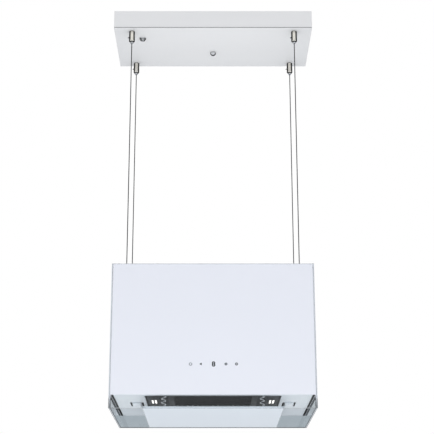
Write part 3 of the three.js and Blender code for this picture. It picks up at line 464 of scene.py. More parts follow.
# Painted reflection: the chrome's rims are darkened in its colour.
paint_rim_reflection(chrome_with_painted_rim, 0.16, 0.36, 0.01)
lead_bush = finish(
    "lead_bush_rubber", (0.03, 0.03, 0.032), (0.02, 0.02, 0.022), (0.55, 0.7), grain=1400
)
TURNED_MERGE = 0.002 * MM


# Turns a profile of (radius, distance along) pairs about a line through centre.
def turned(profile, centre, axis=Z_AXIS, steps=48, shape=None):
    shape = shape or bmesh.new()
    out = X_AXIS if abs(axis.x) < 0.5 else Y_AXIS
    points = [shape.verts.new(centre + out * radius + axis * along) for radius, along in profile]
    lines = [shape.edges.new(pair) for pair in zip(points, points[1:])]
    bmesh.ops.spin(
        shape, geom=points + lines, cent=centre, axis=axis, angle=2 * math.pi, steps=steps,
        use_merge=True,
    )
    weld(shape, TURNED_MERGE)
    face_out(shape)
    return shape


# A solid bar of so many sides about a place, with its edges turned off over a width.
def bar(shape, sides, radius, top_radius, height, place, width):
    made = bmesh.ops.create_cone(
        shape, cap_ends=True, segments=sides, radius1=radius, radius2=top_radius, depth=height,
        matrix=Matrix.Translation(place),
    )["verts"]
    ease(shape, {e for v in made for e in v.link_edges}, width)


def hexagon(centre, radius, low, high, shape):
    place = (centre.x, centre.y, (low + high) / 2)
    bar(shape, 6, radius, radius, high - low, place, 0.08 * radius)


# The middle of a box between two corners, brought down to no height.
def plan_middle(low, high):
    return Vector(((low.x + high.x) / 2, (low.y + high.y) / 2, 0))


nut_low, nut_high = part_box("canopy_cap_nut")
nut_radius = (nut_high.x - nut_low.x) / 2
nut_centre = plan_middle(nut_low, nut_high)
hex_low = nut_high.z - (nut_high.z - nut_low.z) * HEX_PART
dome_radius = nut_radius * DOME_PART
dome = [(0, nut_low.z)]
for i in range(1, DOME_STEPS + 1):
    turn = i / DOME_STEPS * math.pi / 2
    along = hex_low - (hex_low - nut_low.z) * math.cos(turn)
    dome.append((dome_radius * math.sin(turn), along))
dome += [(dome_radius, hex_low + MM), (0, hex_low + MM)]
nut_shape = turned(dome, nut_centre)
hexagon(nut_centre, nut_radius, hex_low, nut_high.z, nut_shape)
fit(
    "cap_nut", nut_shape, "ceiling_unit", chrome_with_painted_rim, ["canopy_cap_nut"],
    TURNED_CREASE,
)


# The gland's nut points down under the canopy and up on the hood's top panel.
def lead_gland(name, node, body, down):
    low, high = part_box(node)
    centre = plan_middle(low, high)
    radius = (high.x - low.x) / 2
    nut_end, thread_end = (low.z, high.z) if down < 0 else (high.z, low.z)
    seat = thread_end + down * GLAND_THREAD
    collar_end = seat + down * GLAND_COLLAR
    profile = [
        (GLAND_BORE, thread_end), (GLAND_NECK, thread_end), (GLAND_NECK, seat),
        (radius - COLLAR_EDGE, seat), (radius, seat + down * COLLAR_EDGE),
        (radius, collar_end - down * COLLAR_EDGE), (radius - COLLAR_EDGE, collar_end),
        (GLAND_NECK, collar_end), (GLAND_NECK, nut_end - down * NECK_EDGE),
        (GLAND_NECK - 0.9 * MM, nut_end - down * 0.6 * MM), (GLAND_BORE + MM, nut_end),
        (GLAND_BORE + 0.3 * MM, nut_end - down * 0.7 * MM), (GLAND_BORE, nut_end - down * 2 * MM),
        (GLAND_BORE, thread_end),
    ]
    shape = turned(profile, centre)
    flute_low, flute_high = sorted((collar_end, nut_end - down * 2.4 * MM))
    height = flute_high - flute_low - 0.1 * MM
    size = Matrix.Diagonal((FLUTE_DEPTH, FLUTE_WIDTH, height, 1))
    place = Matrix.Translation((centre.x, centre.y, (flute_low + flute_high) / 2))
    out = Matrix.Translation((GLAND_NECK + 0.9 * MM, 0, 0))
    for i in range(FLUTES):
        flat = bmesh.ops.create_cube(shape, size=1)["verts"]
        turn = Matrix.Rotation(i * 2 * math.pi / FLUTES, 4, "Z")
        bmesh.ops.transform(shape, matrix=place @ turn @ out @ size, verts=flat)
    fit(name, shape, body, chrome_with_painted_rim, [node], TURNED_CREASE)
    bush_radius = GLAND_BORE - 0.1 * MM
    bush = [
        (LEAD_BORE, nut_end - down * NECK_EDGE),
        (LEAD_BORE + 0.8 * MM, nut_end - down * 1.4 * MM),
        (bush_radius, nut_end - down * 1.4 * MM), (bush_radius, nut_end - down * BUSH_LENGTH),
        (LEAD_BORE, nut_end - down * BUSH_LENGTH), (LEAD_BORE, nut_end - down * NECK_EDGE),
    ]
    fit(f"{name}_bush", turned(bush, centre, steps=24), body, lead_bush)


lead_gland("canopy_supply_gland", "supply_gland", "ceiling_unit", -1)
lead_gland("top_lead_inlet", "lead_inlet", "hood", 1)

# ------------------------ Terminal block
# Three-pole block moulded in white nylon, under the bracket's web, with a brass screw
# over each pole.
POLES = 3
BLOCK_EDGE = 0.6 * MM
POLE_SCREW_RADIUS = 2.6 * MM
POLE_SCREW_HEIGHT = 1.2 * MM
white_nylon = finish(
    "white_nylon", (0.84, 0.84, 0.81), (0.79, 0.79, 0.76), (0.45, 0.55), grain=1100
)
brass = finish(
    "pole_screw_brass", (0.76, 0.6, 0.3), (0.66, 0.5, 0.24), (0.25, 0.4), haze=90, metal=1.0
)
fit_traced("pole_block", "terminal_block", "ceiling_unit", white_nylon, BLOCK_EDGE)
block_low, block_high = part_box("terminal_block")
screw_shape = bmesh.new()
for pole in range(POLES):
    across = block_low.x + (pole + 0.5) * (block_high.x - block_low.x) / POLES
    place = (across, (block_low.y + block_high.y) / 2, block_low.z)
    head_radius = POLE_SCREW_RADIUS + 0.2 * MM
    bar(screw_shape, 20, POLE_SCREW_RADIUS, head_radius, POLE_SCREW_HEIGHT, place, 0.2 * MM)
fit("pole_screws", screw_shape, "ceiling_unit", brass)

# ------------------------ Cable grips
# Nickel-plated turned barrels, screwed up through the canopy into the bracket's lips.
# The rope's cut end leaves at the side; the plunger below frees the wedge inside.
GRIP_GROOVE = 0.35 * MM
UPPER_GROOVE = 7.2 * MM
LOWER_GROOVE = 5.2 * MM
GROOVE_SLOPE = 0.3 * MM
GROOVE_WIDTH = 0.6 * MM
GRIP_WELL = 4.5 * MM
PLUNGER_STEM = 4 * MM
PLUNGER_FLANGE = 3 * MM
ROPE_BORE = 1.8 * MM

nickel_with_painted_rim = finish(
    "nickel_plate_with_painted_rim", (0.88, 0.85, 0.78), (0.76, 0.73, 0.66), (0.16, 0.26), depth=0.012, haze=40,
    stretch=(1, 1, 8), metal=1.0,
)
# Painted reflection: the nickel's rims are darkened in its colour.
paint_rim_reflection(nickel_with_painted_rim, 0.12, 0.3, 0.01)
bright_steel = finish(
    "bright_steel", (0.7, 0.71, 0.72), (0.58, 0.59, 0.61), (0.2, 0.32), grain=1200, depth=0.01,
    haze=50, metal=1.0,
)
for corner in CORNERS:
    low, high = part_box(f"cable_grip_{corner}")
    plunger_low, plunger_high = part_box(f"grip_plunger_{corner}")
    rope_low, rope_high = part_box(f"suspension_rope_{corner}")
    centre = plan_middle(rope_low, rope_high)
    radius = (high.x - low.x) / 2
    top = canopy_low.z - 0.3 * MM
    stud = radius * 0.5
    well_top = plunger_high.z + 3 * MM
    above = top - UPPER_GROOVE
    below = low.z + LOWER_GROOVE
    groove = radius - GRIP_GROOVE
    barrel = [
        (0, high.z), (stud - 0.6 * MM, high.z), (stud, high.z - 0.6 * MM), (stud, top),
        (radius - 1.8 * MM, top), (radius - 0.7 * MM, top - 0.5 * MM),
        (radius - 0.15 * MM, top - 1.2 * MM), (radius, top - 2 * MM), (radius, above),
        (groove, above - GROOVE_SLOPE), (groove, above - GROOVE_SLOPE - GROOVE_WIDTH),
        (radius, above - 2 * GROOVE_SLOPE - GROOVE_WIDTH),
        (radius, below + 2 * GROOVE_SLOPE + GROOVE_WIDTH),
        (groove, below + GROOVE_SLOPE + GROOVE_WIDTH), (groove, below + GROOVE_SLOPE),
        (radius, below), (radius, low.z + 2.2 * MM), (radius - 0.4 * MM, low.z + 1.2 * MM),
        (radius - 1.4 * MM, low.z + 0.3 * MM), (radius - 2.2 * MM, low.z),
        (GRIP_WELL + 0.4 * MM, low.z), (GRIP_WELL, low.z + 0.4 * MM), (GRIP_WELL, well_top),
        (ROPE_BORE, well_top), (ROPE_BORE, rope_high.z + 0.6 * MM), (0, rope_high.z + 0.6 * MM),
    ]
    fit(
        f"grip_barrel_{corner}", turned(barrel, centre, steps=64), "ceiling_unit",
        nickel_with_painted_rim, [f"cable_grip_{corner}"], TURNED_CREASE,
    )
    flange = (plunger_high.x - plunger_low.x) / 2
    shoulder = plunger_low.z + PLUNGER_FLANGE
    plunger = [
        (ROPE_BORE, plunger_low.z + 0.4 * MM), (ROPE_BORE + 0.4 * MM, plunger_low.z),
        (flange - 0.7 * MM, plunger_low.z), (flange, plunger_low.z + 0.7 * MM),
        (flange, shoulder - 0.4 * MM), (flange - 0.4 * MM, shoulder), (PLUNGER_STEM, shoulder),
        (PLUNGER_STEM, plunger_high.z - 0.4 * MM), (PLUNGER_STEM - 0.4 * MM, plunger_high.z),
        (ROPE_BORE, plunger_high.z), (ROPE_BORE, plunger_low.z + 0.4 * MM),
    ]
    fit(
        f"release_plunger_{corner}", turned(plunger, centre, steps=40), f"grip_plunger_{corner}",
        bright_steel, [f"grip_plunger_{corner}"], TURNED_CREASE,
    )

# ------------------------ Suspension ropes
# Stranded steel rope, 3 mm: six strands laid round a core, one to each corner. The
# trimmed ends stand out of the grips. A rope gets shorter as its grip lets it through.
STRANDS = 6
STRAND_RADIUS = 0.5 * MM
STRAND_SIDES = 5
STRAND_MERGE = 0.01 * MM
LAY_LENGTH = 15 * MM
LAY_STEPS = 10
TAIL_SLOPE = 0.5

# Painted shade: the steel is coloured near-black, as the thin rope looks in shade.
rope_steel_painted_shade = finish(
    "rope_steel_painted_shade", (0.06, 0.061, 0.063), (0.035, 0.036, 0.038), (0.4, 0.55), grain=2500, haze=30,
    metal=1.0,
)


# Six strands about the Z axis through centre, from low up to high, with closed ends. One
# whole turn is spun, and a long rope repeats it.
def laid_rope(centre, radius, low, high):
    shape = bmesh.new()
    turns = (high - low) / LAY_LENGTH
    repeats = max(1, round(turns))
    run = (high - low) / repeats
    foot = Matrix.Translation((centre.x, centre.y, low))
    out = Matrix.Translation((radius - STRAND_RADIUS, 0, 0))
    sections = []
    for strand in range(STRANDS):
        turn = Matrix.Rotation(strand * 2 * math.pi / STRANDS, 4, "Z")
        sections += bmesh.ops.create_circle(
            shape, segments=STRAND_SIDES, radius=STRAND_RADIUS, matrix=foot @ turn @ out
        )["verts"]
    edges = list({e for v in sections for e in v.link_edges})
    bmesh.ops.spin(
        shape, geom=sections + edges, cent=(centre.x, centre.y, low), axis=Z_AXIS,
        dvec=(0, 0, run / LAY_STEPS), angle=min(1, turns) * 2 * math.pi, steps=LAY_STEPS,
    )
    first = shape.verts[:] + shape.edges[:] + shape.faces[:]
    for i in range(1, repeats):
        copy = bmesh.ops.duplicate(shape, geom=first)["geom"]
        moved = [v for v in copy if isinstance(v, bmesh.types.BMVert)]
        bmesh.ops.translate(shape, vec=(0, 0, i * run), verts=moved)
    weld(shape, STRAND_MERGE)
    ends = [e for e in shape.edges if e.is_boundary]
    bmesh.ops.holes_fill(shape, edges=ends, sides=STRAND_SIDES)
    face_out(shape)
    return shape


for corner in CORNERS:
    node = f"suspension_rope_{corner}"
    low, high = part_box(node)
    centre = (low + high) / 2
    radius = (high.x - low.x) / 2
    rope_shape = laid_rope(centre, radius, low.z, high.z)
    rope = fit(f"steel_rope_{corner}", rope_shape, "hood", rope_steel_painted_shade, [node])
    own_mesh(rope)
    node = f"rope_tail_{corner}"
    tail_low, tail_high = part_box(node)
    reach = (tail_high.x - tail_low.x) / math.cos(TAIL_SLOPE)
    reach -= 2 * radius * math.tan(TAIL_SLOPE)
    tail_shape = laid_rope(Vector((0, 0, 0)), radius, 0, reach)
    lean = Matrix.Rotation(-math.pi / 2 - TAIL_SLOPE, 4, "Y")
    start = Matrix.Translation((tail_high.x, centre.y, tail_high.z - radius))
    bmesh.ops.transform(tail_shape, matrix=start @ lean, verts=tail_shape.verts)
    fit(f"cut_rope_end_{corner}", tail_shape, "ceiling_unit", rope_steel_painted_shade, [node])

# ------------------------ Rope anchors
# Zinc-plated steel: a hexagon screwed into the top panel, and above it the ferrule that
# the rope's end is pressed into, with a crimped ring.
ANCHOR_HEX = 8 * MM
ANCHOR_FOOT = 0.3 * MM
THREAD_PART = 0.57
FERRULE_PART = 0.72
CRIMP_LOW = 6 * MM
CRIMP_HIGH = 4 * MM
CRIMP_DEPTH = 0.5 * MM
CRIMP_SLOPE = 0.6 * MM
for corner in CORNERS:
    low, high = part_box(f"rope_anchor_{corner}")
    rope_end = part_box(f"suspension_rope_{corner}")[0].z - 0.3 * MM
    radius = (high.x - low.x) / 2
    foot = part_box("top_panel")[1].z + ANCHOR_FOOT
    thread = radius * THREAD_PART
    ferrule = radius * FERRULE_PART
    body = [
        (0, low.z), (radius * 0.5, low.z), (thread, low.z + 0.6 * MM), (thread, foot + MM),
        (ferrule, foot + MM), (ferrule, high.z - CRIMP_LOW),
        (ferrule - CRIMP_DEPTH, high.z - CRIMP_LOW + CRIMP_SLOPE),
        (ferrule - CRIMP_DEPTH, high.z - CRIMP_HIGH - CRIMP_SLOPE),
        (ferrule, high.z - CRIMP_HIGH), (ferrule - 0.2 * MM, high.z - 1.4 * MM),
        (ferrule - 1.2 * MM, high.z - 0.4 * MM), (ferrule - 2 * MM, high.z),
        (ROPE_BORE + 0.3 * MM, high.z), (ROPE_BORE, high.z - 0.5 * MM), (ROPE_BORE, rope_end),
        (0, rope_end),
    ]
    centre = plan_middle(low, high)
    anchor_shape = turned(body, centre, steps=40)
    hexagon(centre, radius, foot, foot + ANCHOR_HEX, anchor_shape)
    fit(
        f"rope_ferrule_{corner}", anchor_shape, "hood", bright_steel,
        [f"rope_anchor_{corner}"], TURNED_CREASE,
    )

# ------------------------ Glass body
# Four panes of 6 mm toughened glass with ground edges, glued round the casing. White
# enamel is fired on the inner faces and stops above the clear skirt. The front pane
# laps the edges of the side panes.
ARRIS = 0.8 * MM
GROUND_ARRIS = 1.7 * MM
ENAMEL = 0.3 * MM
ENAMEL_BITE = 0.05 * MM
ENAMEL_EDGE = 4.2 * MM
ENAMEL_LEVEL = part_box("underside_tray")[0].z
GLASS_IOR = 1.5
GLASS_GREY = 0.985


# Clear glass. Light for the things behind it passes straight through, without caustics.
def clear_glass(name, tint):
    dark = tuple(GLASS_GREY * c for c in tint)
    paint = finish(name, tint, dark, (0.0, 0.02), haze=3, grain=5, depth=0.0)
    tree = paint.node_tree
    shader = tree.nodes["Principled BSDF"]
    shader.inputs["Transmission Weight"].default_value = 1.0
    shader.inputs["IOR"].default_value = GLASS_IOR
    ways = add_node(tree, "LightPath").outputs
    lit = {0: ways["Is Shadow Ray"], 1: ways["Is Diffuse Ray"]}
    lighting = add_node(tree, "Math", lit, operation="MAXIMUM")
    open_way = add_node(tree, "BsdfTransparent", {"Color": (*tint, 1)})
    shares = {0: lighting.outputs[0], 1: shader.outputs[0], 2: open_way.outputs[0]}
    choice = add_node(tree, "MixShader", shares)
    tree.links.new(choice.outputs[0], tree.nodes["Material Output"].inputs["Surface"])
    return paint


# A box between two corners, added to a bmesh.
def block(shape, low, high):
    low, high = Vector(low), Vector(high)
    place = Matrix.Translation((low + high) / 2) @ Matrix.Diagonal((*(high - low), 1))
    return bmesh.ops.create_cube(shape, size=1, matrix=place)["verts"]


pane_glass = clear_glass("toughened_glass", (0.975, 0.99, 0.988))
# Painted shade: the ground lower edges are coloured near-black.
edge_painted_shade = finish(
    "ground_glass_edge_painted_shade", (0.03, 0.045, 0.05), (0.02, 0.03, 0.035), (0.3, 0.45), grain=2200
)


# A pane with its edges eased over a width. The lower arrises that are ground, and the
# whole lower edge if asked for, take the pane's second finish: near-black, painted shade.
def pane(shape, low, high, width, shade_arris=False, shade_bottom=False):
    block(shape, low, high)
    ease(shape, shape.edges, width)
    for face in shape.faces:
        down = -face.normal.z
        if down > 0.1 and face.calc_center_median().z < low.z + 2 * width:
            flat = down >= 0.99
            face.material_index = int(shade_bottom if flat else shade_arris)


enamel = finish(
    "white_enamel", (0.862, 0.855, 0.92), (0.852, 0.845, 0.91), (0.2, 0.26), grain=500,
    depth=0.004, haze=3,
)
PANES = (
    ("front", Y_AXIS, ENAMEL_EDGE), ("rear", -Y_AXIS, ENAMEL_EDGE), ("left", X_AXIS, MM),
    ("right", -X_AXIS, MM),
)
for side, inward, edge in PANES:
    node = f"{side}_glass"
    low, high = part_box(node)
    pane_shape = bmesh.new()
    if side == "front":
        pane(pane_shape, low, high, ARRIS)
    else:
        pane(pane_shape, low, high, GROUND_ARRIS, True, side == "rear")
    fitted = fit(f"{side}_pane", pane_shape, "hood", pane_glass, [node])
    fitted.data.materials.append(edge_painted_shade)
    coat_low, coat_high = low.copy(), high.copy()
    coat_low.z = ENAMEL_LEVEL
    coat_high.z -= MM
    through, along = (1, 0) if inward.y else (0, 1)
    coat_low[along] += edge
    coat_high[along] -= edge
    step = inward[through]
    inner = high[through] if step > 0 else low[through]
    span = sorted((inner - step * ENAMEL_BITE, inner + step * ENAMEL))
    coat_low[through], coat_high[through] = span
    coat_shape = bmesh.new()
    block(coat_shape, coat_low, coat_high)
    ease(coat_shape, coat_shape.edges, ENAMEL * 0.2, 1)
    fit(f"{side}_enamel", coat_shape, "hood", enamel)

# ------------------------ Control marks
# Touch marks printed behind the front pane: power, speed down, the speed number in seven
# segments, speed up and lamp. The touch board is glued to the pane behind them.
POWER_PLACE = -65 * MM
POWER_RING = (2.8 * MM, 4.8 * MM)
POWER_GAP = 1.0
POWER_STROKE = 1.3 * MM
SLOWER_PLACE = -35 * MM
SLOWER_RADIUS = 4.6 * MM
NUMBER_PLACE = 1.6 * MM
DIGIT_WIDTH = 6.6 * MM
DIGIT_HEIGHT = 11.6 * MM
DIGIT_STROKE = 3.3 * MM
FASTER_PLACE = 37.5 * MM
FASTER_RADIUS = 4.3 * MM
LAMP_PLACE = 68 * MM
LAMP_RING = (1.7 * MM, 4.3 * MM)
MARK_DEPTH = 0.06 * MM

mark_ink = finish(
    "mark_ink", (0.012, 0.013, 0.014), (0.008, 0.009, 0.01), (0.35, 0.45), grain=1500
)
faint_ink = finish(
    "faint_mark_ink", (0.2, 0.21, 0.235), (0.17, 0.18, 0.2), (0.35, 0.45), grain=1500
)
board_low, board_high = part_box("touch_board")
mark_height = (board_low.z + board_high.z) / 2
mark_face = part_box("front_glass")[1].y - ENAMEL_BITE - MARK_DEPTH


# A printed bar between two points of the mark's plane, (across, up) from the mark's middle.
def printed_bar(shape, middle, start, end, width):
    start, end = Vector(start), Vector(end)
    run = end - start
    centre = (start + end) / 2
    place = Matrix.Translation(
        (middle + centre.x, mark_face + MARK_DEPTH / 2, mark_height + centre.y)
    )
    lean = Matrix.Rotation(-math.atan2(run.y, run.x), 4, "Y")
    size = Matrix.Diagonal((run.length + width * 0.6, MARK_DEPTH, width, 1))
    made = bmesh.ops.create_cube(shape, size=1, matrix=place @ lean @ size)["verts"]
    edges = {e for v in made for e in v.link_edges}
    upright = [e for e in edges if abs((e.verts[0].co - e.verts[1].co).y) > MARK_DEPTH / 2]
    ease(shape, upright, width * 0.28)


# A printed ring, or a dot when its inner radius is nothing; an arc when it has a gap.
def printed_ring(shape, middle, inner, outer, gap=0.0, steps=32):
    start = math.pi / 2 + gap / 2
    centre = Vector((middle, mark_face, mark_height))
    out = Vector((math.cos(start), 0, math.sin(start)))
    deep = Y_AXIS * MARK_DEPTH
    places = (out * inner, out * outer, out * outer + deep, out * inner + deep)
    corners = [shape.verts.new(centre + place) for place in places]
    section = shape.faces.new(corners)
    geometry = [section, *section.edges, *corners]
    if gap == 0:
        geometry = [*section.edges, *corners]
        shape.faces.remove(section)
    bmesh.ops.spin(
        shape, geom=geometry, cent=centre, axis=-Y_AXIS, angle=2 * math.pi - gap, steps=steps,
        use_merge=gap == 0,
    )
    weld(shape, TURNED_MERGE)


power_shape = bmesh.new()
printed_ring(power_shape, POWER_PLACE, *POWER_RING, gap=POWER_GAP)
printed_bar(power_shape, POWER_PLACE, (0, 1.8 * MM), (0, 5.2 * MM), POWER_STROKE)
face_out(power_shape)
fit("power_mark", power_shape, "hood", faint_ink)

digit_shape = bmesh.new()
segments = []
for level in (-1, 0, 1):
    up = level * DIGIT_HEIGHT / 2
    segments.append(((-DIGIT_WIDTH / 2.8, up), (DIGIT_WIDTH / 2.8, up)))
for across in (-1, 1):
    for level in (-1, 1):
        end = level * DIGIT_HEIGHT / 2
        over_by = across * DIGIT_WIDTH / 2
        segments.append(((over_by, end * 0.16), (over_by, end * 0.84)))
for start, end in segments:
    printed_bar(digit_shape, NUMBER_PLACE, start, end, DIGIT_STROKE)
fit("speed_number", digit_shape, "hood", mark_ink)

slower_shape = bmesh.new()
bmesh.ops.create_cone(
    slower_shape,
    cap_ends=True,
    segments=3,
    radius1=SLOWER_RADIUS,
    radius2=SLOWER_RADIUS,
    depth=MARK_DEPTH,
    matrix=Matrix.Translation((SLOWER_PLACE, mark_face + MARK_DEPTH / 2, mark_height))
    @ Matrix.Rotation(math.pi / 2, 4, "X")
    @ Matrix.Rotation(math.pi / 2, 4, "Z"),
)
fit("slower_mark", slower_shape, "hood", mark_ink)

for mark, place, ring, ink in (
    ("faster_mark", FASTER_PLACE, (0, FASTER_RADIUS), faint_ink),
    ("lamp_mark", LAMP_PLACE, LAMP_RING, mark_ink),
):
    ring_shape = bmesh.new()
    printed_ring(ring_shape, place, *ring)
    face_out(ring_shape)
    fit(mark, ring_shape, "hood", ink)


# ------------------------ Casing and touch board
# Welded zinc-coated box that the panes are glued to, and the printed board with its
# touch pads; both are behind the enamel.
def dress(node, paint):
    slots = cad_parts[node].data.materials
    slots.clear()
    slots.append(paint)


dress("casing", zinc)
solder_mask = finish(
    "solder_mask", (0.03, 0.16, 0.08), (0.05, 0.22, 0.11), (0.3, 0.5), grain=600, haze=420
)
dress("touch_board", solder_mask)

# ------------------------ Top panel
# White powder-coated sheet between the panes, laid on the casing's edge. The filtered air
# leaves through the round-ended slots over the blower; four screws hold it.
SLOT_COUNT = 15
SLOT_LENGTH = 128 * MM
SLOT_WIDTH = 3.5 * MM
SLOT_PITCH = 9 * MM
SLOT_ROUND = SLOT_WIDTH * 0.49
SCREW_INSET = 26 * MM
SCREW_RADIUS = 3.2 * MM

panel_low, panel_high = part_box("top_panel")
panel_shape = bmesh.new()
panel_size = Matrix.Diagonal((panel_high.x - panel_low.x, panel_high.y - panel_low.y, 1, 1))
bmesh.ops.create_grid(
    panel_shape, x_segments=1, y_segments=1, size=0.5,
    matrix=Matrix.Translation((0, 0, panel_high.z)) @ panel_size,
)
slot_lines = []
for i in range(SLOT_COUNT):
    middle = (i - (SLOT_COUNT - 1) / 2) * SLOT_PITCH
    slot_lines.append((middle - SLOT_WIDTH / 2, middle + SLOT_WIDTH / 2))
slot_edges = [line for pair in slot_lines for line in pair]
for line in slot_edges:
    cut(panel_shape, (0, line, panel_high.z), Y_AXIS)
for line in (-SLOT_LENGTH / 2, SLOT_LENGTH / 2):
    cut(panel_shape, (line, 0, panel_high.z), X_AXIS)
openings = []
for face in panel_shape.faces:
    middle = face.calc_center_median()
    if abs(middle.x) < SLOT_LENGTH / 2 and any(a < middle.y < b for a, b in slot_lines):
        openings.append(face)
bmesh.ops.delete(panel_shape, geom=openings, context="FACES")
slot_corners = [
    v
    for v in panel_shape.verts
    if abs(abs(v.co.x) - SLOT_LENGTH / 2) < MM / 100
    and any(abs(v.co.y - line) < MM / 100 for line in slot_edges)
]
ease(panel_shape, slot_corners, SLOT_ROUND, 5, "VERTICES")
sheet = panel_high.z - panel_low.z
bmesh.ops.solidify(panel_shape, geom=panel_shape.faces[:], thickness=sheet)
face_out(panel_shape)
fit("outlet_panel", panel_shape, "hood", white_coat, ["top_panel"], 40)

screws_shape = bmesh.new()
pan_head = [
    (0, 2.1 * MM), (SCREW_RADIUS * 0.45, 2.0 * MM), (SCREW_RADIUS * 0.8, 1.5 * MM),
    (SCREW_RADIUS, 0.6 * MM), (SCREW_RADIUS, 0), (0, 0),
]
for across in (-1, 1):
    for back in (-1, 1):
        x, y = across * (panel_high.x - SCREW_INSET), back * (panel_high.y - SCREW_INSET)
        turned(pan_head, Vector((x, y, panel_high.z)), steps=24, shape=screws_shape)
fit("outlet_panel_screws", screws_shape, "hood", bright_steel)

# ------------------------ Underside tray and seals
# Folded sheet tray in satin silver lacquer, its opening cut for the filter. Behind the spring
# clips its lower faces take a darker copy of the lacquer, which is painted shade. Soft black seals
# fill the joint between the tray and the side glass.
TRAY_FOLD = 0.45 * MM
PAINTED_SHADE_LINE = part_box("left_tray_clip")[1].y + 39 * MM
SEAL_ROUND = 1.1 * MM
SEAL_LIP = 2.6 * MM
SEAL_LIP_DEPTH = 0.9 * MM
SEAL_LIP_SINK = 0.05 * MM
CLIP_ROUND = 0.6 * MM

lacquer = {"gloss": (0.3, 0.4), "grain": 1600, "depth": 0.01, "haze": 9, "metal": 0.15}
silver = finish("silver_lacquer", (0.86, 0.905, 0.95), (0.81, 0.85, 0.89), **lacquer)
painted_shade_silver = finish("silver_lacquer_painted_shade", (0.632, 0.687, 0.733), (0.6, 0.65, 0.69), **lacquer)
tray_shape = traced("underside_tray")
ease(tray_shape, sharp_edges(tray_shape), TRAY_FOLD)
cut(tray_shape, (0, PAINTED_SHADE_LINE, 0), Y_AXIS)
# Painted shade: the tray's lower faces behind this line take the darker lacquer.
for face in tray_shape.faces:
    if face.normal.z < -0.9 and face.calc_center_median().y > PAINTED_SHADE_LINE:
        face.material_index = 1
tray = fit("silver_tray", tray_shape, "hood", silver, ["underside_tray"])
tray.data.materials.append(painted_shade_silver)
seal_rubber = finish(
    "seal_rubber", (0.014, 0.015, 0.016), (0.009, 0.01, 0.011), (0.6, 0.75), depth=0.05,
    Specular_IOR_Level=0.08,
)
for side, s in SIDES:
    node = f"{side}_seal"
    low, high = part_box(node)
    seal_shape = bmesh.new()
    block(seal_shape, low, high)
    ease(seal_shape, seal_shape.edges, SEAL_ROUND, 3)
    lip_low = (low.x - (SEAL_LIP if s > 0 else 0), low.y, low.z - SEAL_LIP_DEPTH)
    lip_high = (high.x + (SEAL_LIP if s < 0 else 0), high.y, low.z - SEAL_LIP_SINK)
    lip = block(seal_shape, lip_low, lip_high)
    ease(seal_shape, {e for v in lip for e in v.link_edges}, 0.3 * MM)
    fit(f"{side}_edge_seal", seal_shape, "hood", seal_rubber, [node])

for side, _ in SIDES:
    fit_traced(f"{side}_spring_clip", f"{side}_tray_clip", "hood", silver, CLIP_ROUND, 3)

# ------------------------ Filter carrier and lamps
# Black-coated plate above the opening. Each lamp is a black housing with two long
# windows, and an opal diffuser that glows behind them.
CARRIER_EDGE = 0.3 * MM
LAMP_EDGE = 0.4 * MM
DIFFUSER_EDGE = 0.3 * MM
matt_black = finish(
    "black_coat", (0.035, 0.037, 0.04), (0.025, 0.027, 0.03), (0.45, 0.6), grain=1000, depth=0.03,
)
lamp_black = finish(
    "lamp_plastic", (0.022, 0.023, 0.025), (0.016, 0.017, 0.019), (0.4, 0.5), grain=1400,
    depth=0.03,
)
opal = finish(
    "opal_diffuser", (0.95, 0.95, 0.93), (0.92, 0.92, 0.9), (0.35, 0.45), grain=1500,
    Emission_Color=(1.0, 0.97, 0.92, 1), Emission_Strength=1.3,
)
fit_traced("black_carrier", "filter_carrier", "hood", matt_black, CARRIER_EDGE)
for side, _ in SIDES:
    housing, diffuser = f"{side}_lamp_housing", f"{side}_lamp_diffuser"
    fit_traced(housing, f"{side}_lamp", "hood", lamp_black, LAMP_EDGE)
    fit_traced(diffuser, f"{side}_lamp_lens", "hood", opal, DIFFUSER_EDGE)

# ------------------------ Grease filter
# Satin aluminium frame, folded and riveted, with a cross rib. The pad is three layers of
# expanded aluminium mesh, each shifted from the last. Frame and mesh are coloured near-black and
# dark grey, which is painted shade of the recess they sit in.
CELL_WIDTH = 9 * MM
CELL_DEPTH = 5 * MM
WIRE = 0.9 * MM
LAYERS = 3
FRAME_FOLD = 0.9 * MM
LATCH_EDGE = 0.4 * MM
RIB_FROM_FRONT = 189 * MM
RIVET_RADIUS = 2.6 * MM
RIVET_INSET = 7 * MM
RIVETS = 15

# Painted shade: the frame and mesh colours are far darker than aluminium.
filter_aluminium = finish(
    "filter_aluminium", (0.08, 0.083, 0.087), (0.055, 0.058, 0.062), (0.3, 0.42), grain=700,
    haze=22, metal=0.9,
)
mesh_painted_shade = finish(
    "expanded_mesh", (0.2, 0.21, 0.215), (0.13, 0.137, 0.142), (0.35, 0.5), grain=1800, haze=30,
    metal=0.8,
)
fit_traced(
    "filter_rim", "filter_frame", "grease_filter", filter_aluminium,
    FRAME_FOLD, 3,
)
frame_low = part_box("filter_frame")[0]
pad_low, pad_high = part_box("filter_mesh")
pad_middle = plan_middle(pad_low, pad_high)
pad_size = pad_high - pad_low
rivet_head = [
    (0, -2 * MM), (RIVET_RADIUS * 0.5, -1.8 * MM), (RIVET_RADIUS * 0.85, -1.2 * MM),
    (RIVET_RADIUS, -0.2 * MM), (RIVET_RADIUS, 0.3 * MM), (0, 0.3 * MM),
]
rivet_pitch = (pad_size.x - 2 * RIVET_INSET) / (RIVETS - 1)
rivet_shape = bmesh.new()
for i in range(RIVETS):
    across = (i - (RIVETS - 1) / 2) * rivet_pitch
    place = Vector((across, frame_low.y + RIB_FROM_FRONT, frame_low.z))
    turned(rivet_head, place, steps=14, shape=rivet_shape)
fit("filter_rivets", rivet_shape, "grease_filter", bright_steel)


